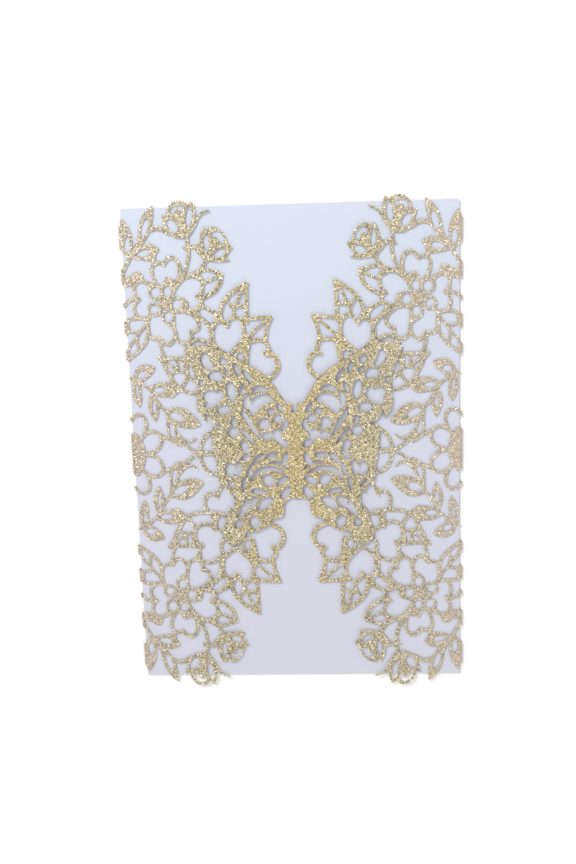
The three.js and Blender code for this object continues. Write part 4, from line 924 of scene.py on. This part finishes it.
def flakes_on(name, gate, material, settings, tree):
    """Plain mesh of the flakes on one gate."""
    carrier = bpy.data.objects.new(name, gate.data.copy())
    bpy.context.scene.collection.objects.link(carrier)
    modifier = carrier.modifiers.new("flakes", "NODES")
    modifier.node_group = tree
    given = {
        "Flakes per square metre": settings.flakes_per_square_mm * 1e6,
        "Flake radius": settings.flake_radius,
        "Tilt": settings.tilt,
        "Seed": settings.seed,
        "Material": material,
    }
    for socket in tree.interface.items_tree:
        if socket.in_out == "INPUT" and socket.name in given:
            modifier[socket.identifier] = given[socket.name]
    graph = bpy.context.evaluated_depsgraph_get()
    mesh = bpy.data.meshes.new_from_object(carrier.evaluated_get(graph))
    bpy.data.objects.remove(carrier)
    set_points(mesh, kept_in_box(points_of(mesh)))
    mesh.materials.clear()
    return mesh


# Settings

class InvitationSettings(bpy.types.PropertyGroup):
    """Sizes of the wrap and the card"""
    drawing_step: bpy.props.FloatProperty(
        name="Drawing step", description="Distance between the points at which the lace is drawn",
        default=0.0002, subtype="DISTANCE")
    sheet_thickness: bpy.props.FloatProperty(
        name="Sheet thickness", description="Thickness of the glitter card",
        default=0.00025, subtype="DISTANCE")
    gate_rise: bpy.props.FloatProperty(
        name="Gate rise", description="How far the gates lift off the card",
        default=0.0006, subtype="DISTANCE")
    card_thickness: bpy.props.FloatProperty(
        name="Card thickness", description="Thickness of the inserted card",
        default=0.00028, subtype="DISTANCE")
    card_bow: bpy.props.FloatProperty(
        name="Card bow", description="Height of the waves in the card", default=0.00005, subtype="DISTANCE")


class GlitterSettings(bpy.types.PropertyGroup):
    """Scatter of the flakes"""
    flakes_per_square_mm: bpy.props.FloatProperty(
        name="Flakes per square millimetre", description="How many flakes lie on a square millimetre",
        default=7.0)
    flake_radius: bpy.props.FloatProperty(
        name="Flake radius", description="Radius of one flake", default=0.00016, subtype="DISTANCE")
    tilt: bpy.props.FloatProperty(
        name="Tilt", description="Largest tilt of a flake", default=0.45, subtype="ANGLE")
    seed: bpy.props.IntProperty(name="Seed", description="Seed of the scatter", default=7)


class StageSettings(bpy.types.PropertyGroup):
    """Brightness of the lights"""
    key_power: bpy.props.FloatProperty(
        name="Key light", description="Power of the main light", default=3.6, subtype="POWER")
    fill_power: bpy.props.FloatProperty(
        name="Fill light", description="Power of the fill light", default=1.3, subtype="POWER")
    room_light: bpy.props.FloatProperty(
        name="Room light", description="Strength of the even light from all sides", default=0.7)


# Operators

class InvitationOperator:
    bl_options = {"REGISTER", "UNDO"}


class AddGates(InvitationOperator, bpy.types.Operator):
    """Both lace gates, with their butterflies hooked into each other"""
    bl_idname = "invitation.add_gates"
    bl_label = "Add gates"

    def execute(self, context):
        settings = context.scene.invitation
        step = settings.drawing_step / MM
        thickness = settings.sheet_thickness / MM
        material = glitter_material("glitter_card", 1)
        gap = SLIT_END_GAP / 2
        slits = {
            "left_gate": (SLIT_MEET_HEIGHT - gap, SLIT_REACH),
            "right_gate": (-SLIT_REACH, SLIT_MEET_HEIGHT + gap),
        }
        for name, (bottom, top) in slits.items():
            loops = traced_loops(gate_drawing(step, bottom, top))
            mesh = sheet_mesh(name, loops, thickness)
            points = points_of(mesh)
            above = points[:, 2] + thickness / 2
            points[:, 2] = above + gate_height(points[:, 0], points[:, 1], settings.gate_rise / MM)
            set_points(mesh, points * MM)
            if name == "right_gate":
                mirrored_mesh(mesh)
            set_points(mesh, kept_in_box(points_of(mesh)))
            piece = place_piece(name, mesh, material)
            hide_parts("gatefold_wrap")
        return {"FINISHED"}


class AddWrapBack(InvitationOperator, bpy.types.Operator):
    """The back panel and the two folded edges that join it to the gates"""
    bl_idname = "invitation.add_wrap_back"
    bl_label = "Add back panel and folds"

    def execute(self, context):
        thickness = context.scene.invitation.sheet_thickness / MM
        top = PANEL_HEIGHT / 2
        panel = sheet_mesh("wrap_back", [rectangle(-FOLD_X, -top, FOLD_X, top)], thickness)
        set_points(panel, (points_of(panel) + (0, 0, thickness / 2)) * MM)
        piece = place_piece("wrap_back", panel, glitter_material("glitter_back", -1))
        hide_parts("gatefold_wrap")
        folds = folded_edges(thickness)
        piece = place_piece("folded_edges", folds, glitter_material("glitter_folds", 0))
        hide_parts("gatefold_wrap")
        return {"FINISHED"}


def finished_mesh(shaped, name):
    """Plain mesh of what was shaped, with its faces turned outwards."""
    bmesh.ops.recalc_face_normals(shaped, faces=shaped.faces)
    mesh = bpy.data.meshes.new(name)
    shaped.to_mesh(mesh)
    shaped.free()
    return mesh


def folded_edges(thickness):
    """Half-round strips along both sides, where the lace runs round to the back panel."""
    turn = np.linspace(-math.pi / 2, -1.5 * math.pi, FOLD_STEPS + 1)
    around = np.column_stack([np.cos(turn), np.sin(turn)])
    profile = np.vstack([around * FOLD_RADIUS, (around * (FOLD_RADIUS - thickness))[::-1]])
    profile += (FOLD_RADIUS - WRAP_WIDTH / 2, FOLD_RADIUS)
    count = len(profile)
    below = [(-top, -bottom) for bottom, top in FOLD_STRIPS if bottom > 0]
    shaped = bmesh.new()
    for strip in FOLD_STRIPS + below:
        for side in (1, -1):
            lower, upper = [
                [shaped.verts.new((side * x * MM, y * MM, z * MM)) for x, z in profile] for y in strip]
            for index in range(count):
                after = (index + 1) % count
                shaped.faces.new([lower[index], lower[after], upper[after], upper[index]])
            for step in range(FOLD_STEPS):
                for end in (lower, upper):
                    shaped.faces.new([end[step], end[step + 1], end[count - 2 - step], end[count - 1 - step]])
    bmesh.ops.triangulate(shaped, faces=shaped.faces)
    return finished_mesh(shaped, "folded_edges")


def card_mesh(thickness, bow):
    """Closed mesh of the card, with soft waves in it."""
    columns, rows = CARD_POINTS
    x = np.linspace(-CARD_WIDTH / 2, CARD_WIDTH / 2, columns)
    y = CARD_RISE + np.linspace(-CARD_HEIGHT / 2, CARD_HEIGHT / 2, rows)
    across, up = np.meshgrid(x, y)
    wave = bow * np.sin(across / CARD_WAVES[0] + 0.4) * np.cos(up / CARD_WAVES[1])
    shaped = bmesh.new()
    layers = []
    for level in (CARD_LEVEL, CARD_LEVEL + thickness):
        points = np.stack([across, up, level + wave], axis=2) * MM
        layers.append([[shaped.verts.new(point) for point in line] for line in points])
    for row in range(rows - 1):
        for column in range(columns - 1):
            for layer in layers:
                shaped.faces.new([layer[row][column], layer[row][column + 1],
                                  layer[row + 1][column + 1], layer[row + 1][column]])
    rim = [(0, column) for column in range(columns)] + [(row, columns - 1) for row in range(1, rows)]
    rim += [(rows - 1, column) for column in range(columns - 2, -1, -1)]
    rim += [(row, 0) for row in range(rows - 2, 0, -1)]
    low, high = layers
    for (row, column), (next_row, next_column) in zip(rim, rim[1:] + rim[:1]):
        shaped.faces.new([low[row][column], low[next_row][next_column],
                          high[next_row][next_column], high[row][column]])
    return finished_mesh(shaped, "card_sheet")


class AddCard(InvitationOperator, bpy.types.Operator):
    """The pale card that lies in the wrap"""
    bl_idname = "invitation.add_card"
    bl_label = "Add card"

    def execute(self, context):
        settings = context.scene.invitation
        mesh = card_mesh(settings.card_thickness / MM, settings.card_bow / MM)
        piece = place_piece("card_sheet", mesh, paper_material())
        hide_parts("insert_card")
        return {"FINISHED"}


class AddGlitter(InvitationOperator, bpy.types.Operator):
    """Flakes of glitter over both gates"""
    bl_idname = "invitation.add_glitter"
    bl_label = "Add glitter"

    def execute(self, context):
        settings = context.scene.invitation_glitter
        material = flake_material()
        tree = flake_tree()
        for side in ("left", "right"):
            gate = bpy.data.objects.get(side + "_gate")
            if gate is None:
                raise RuntimeError("the gates must be added before their glitter")
            mesh = flakes_on(side + "_glitter", gate, material, settings, tree)
            piece = place_piece(side + "_glitter", mesh, material)
            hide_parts("gatefold_wrap")
        return {"FINISHED"}


def camera_place():
    """World matrix of the camera."""
    turns = [Matrix.Rotation(math.radians(angle), 3, axis) for angle, axis in zip(CAMERA_TURN, "XYZ")]
    turn = turns[2] @ turns[1] @ turns[0]
    flip = Matrix.Diagonal((1, -1, -1))
    facing = (flip @ turn @ flip).transposed()
    place = facing @ (flip @ Vector(CAMERA_OFFSET)) * -MM
    place.y += CAMERA_LIFT * MM
    world = facing.to_4x4()
    world.translation = place
    return world


def area_light(name, placing, power):
    """Square light that looks at the middle of the object."""
    place, width = placing
    light = bpy.data.lights.new(name, "AREA")
    light.shape = "SQUARE"
    light.size = width * MM
    light.energy = power
    lamp = bpy.data.objects.new(name, light)
    lamp.location = [part * MM for part in place]
    bpy.context.scene.collection.objects.link(lamp)
    lamp.rotation_euler = lamp.location.to_track_quat("Z", "Y").to_euler()
    return lamp


def pale_floor():
    """Matt, nearly white floor just under the object."""
    material, tree, surface = new_material("pale_floor")
    surface.inputs["Base Color"].default_value = linear("fbfbfb")
    surface.inputs["Roughness"].default_value = 0.9
    surface.inputs["Specular IOR Level"].default_value = 0.1
    mesh = bpy.data.meshes.new("floor")
    half = FLOOR_WIDTH / 2 * MM
    corners = [(-half, -half, 0), (half, -half, 0), (half, half, 0), (-half, half, 0)]
    mesh.from_pydata(corners, [], [(0, 1, 2, 3)])
    mesh.materials.append(material)
    ground = bpy.data.objects.new("floor", mesh)
    ground.location.z = -FLOOR_DROP * MM
    bpy.context.scene.collection.objects.link(ground)
    return ground


def light_room(scene, strength):
    """Even room light, which is white where the camera, a reflection or a clear body looks at it."""
    world = bpy.data.worlds.new("room")
    scene.world = world
    world.use_nodes = True
    tree = world.node_tree
    tree.nodes.clear()
    path = tree.nodes.new("ShaderNodeLightPath").outputs
    seen = path["Is Camera Ray"]
    for ray in ("Is Glossy Ray", "Is Transmission Ray"):
        seen = add_node(tree, "ShaderNodeMath", {0: seen, 1: path[ray]}, operation="MAXIMUM").outputs[0]
    level = add_node(tree, "ShaderNodeMapRange", {"Value": seen, "To Min": strength, "To Max": 1.0})
    light = add_node(tree, "ShaderNodeBackground", {"Color": (1, 1, 1, 1), "Strength": level.outputs[0]})
    output = tree.nodes.new("ShaderNodeOutputWorld")
    tree.links.new(light.outputs[0], output.inputs["Surface"])


class AddStage(InvitationOperator, bpy.types.Operator):
    """Floor, lights, room light and camera"""
    bl_idname = "invitation.add_stage"
    bl_label = "Add stage"

    def execute(self, context):
        settings = context.scene.invitation_stage
        scene = context.scene
        scene.view_settings.view_transform = "Standard"
        ground = pale_floor()
        key = area_light("key_light", KEY_LIGHT, settings.key_power)
        fill = area_light("fill_light", FILL_LIGHT, settings.fill_power)
        light_room(scene, settings.room_light)
        lens = bpy.data.cameras.new("camera")
        lens.lens = CAMERA_LENS
        lens.sensor_width = CAMERA_SENSOR
        lens.sensor_fit = "AUTO"
        lens.clip_start = 0.01
        camera = bpy.data.objects.new("camera", lens)
        camera.matrix_world = camera_place()
        scene.collection.objects.link(camera)
        scene.camera = camera
        return {"FINISHED"}


class InvitationPanel(bpy.types.Panel):
    bl_idname = "VIEW3D_PT_invitation"
    bl_label = "Invitation"
    bl_space_type = "VIEW_3D"
    bl_region_type = "UI"
    bl_category = "Invitation"

    def draw(self, context):
        for group in SETTINGS:
            settings = getattr(context.scene, group)
            for name in settings.bl_rna.properties.keys():
                if name not in ("rna_type", "name"):
                    self.layout.prop(settings, name)
        for operator in OPERATORS:
            self.layout.operator(operator.bl_idname)


SETTINGS = {
    "invitation": InvitationSettings,
    "invitation_glitter": GlitterSettings,
    "invitation_stage": StageSettings,
}
OPERATORS = (AddGates, AddWrapBack, AddCard, AddGlitter, AddStage)


def register():
    for group in SETTINGS.values():
        bpy.utils.register_class(group)
    for operator in OPERATORS:
        bpy.utils.register_class(operator)
    bpy.utils.register_class(InvitationPanel)
    for name, group in SETTINGS.items():
        setattr(bpy.types.Scene, name, bpy.props.PointerProperty(type=group))


def unregister():
    for name in SETTINGS:
        delattr(bpy.types.Scene, name)
    bpy.utils.unregister_class(InvitationPanel)
    for operator in reversed(OPERATORS):
        bpy.utils.unregister_class(operator)
    for group in reversed(list(SETTINGS.values())):
        bpy.utils.unregister_class(group)


def main():
    register()
    for operator in OPERATORS:
        group, name = operator.bl_idname.split(".")
        getattr(getattr(bpy.ops, group), name)()


if __name__ == "__main__":
    main()
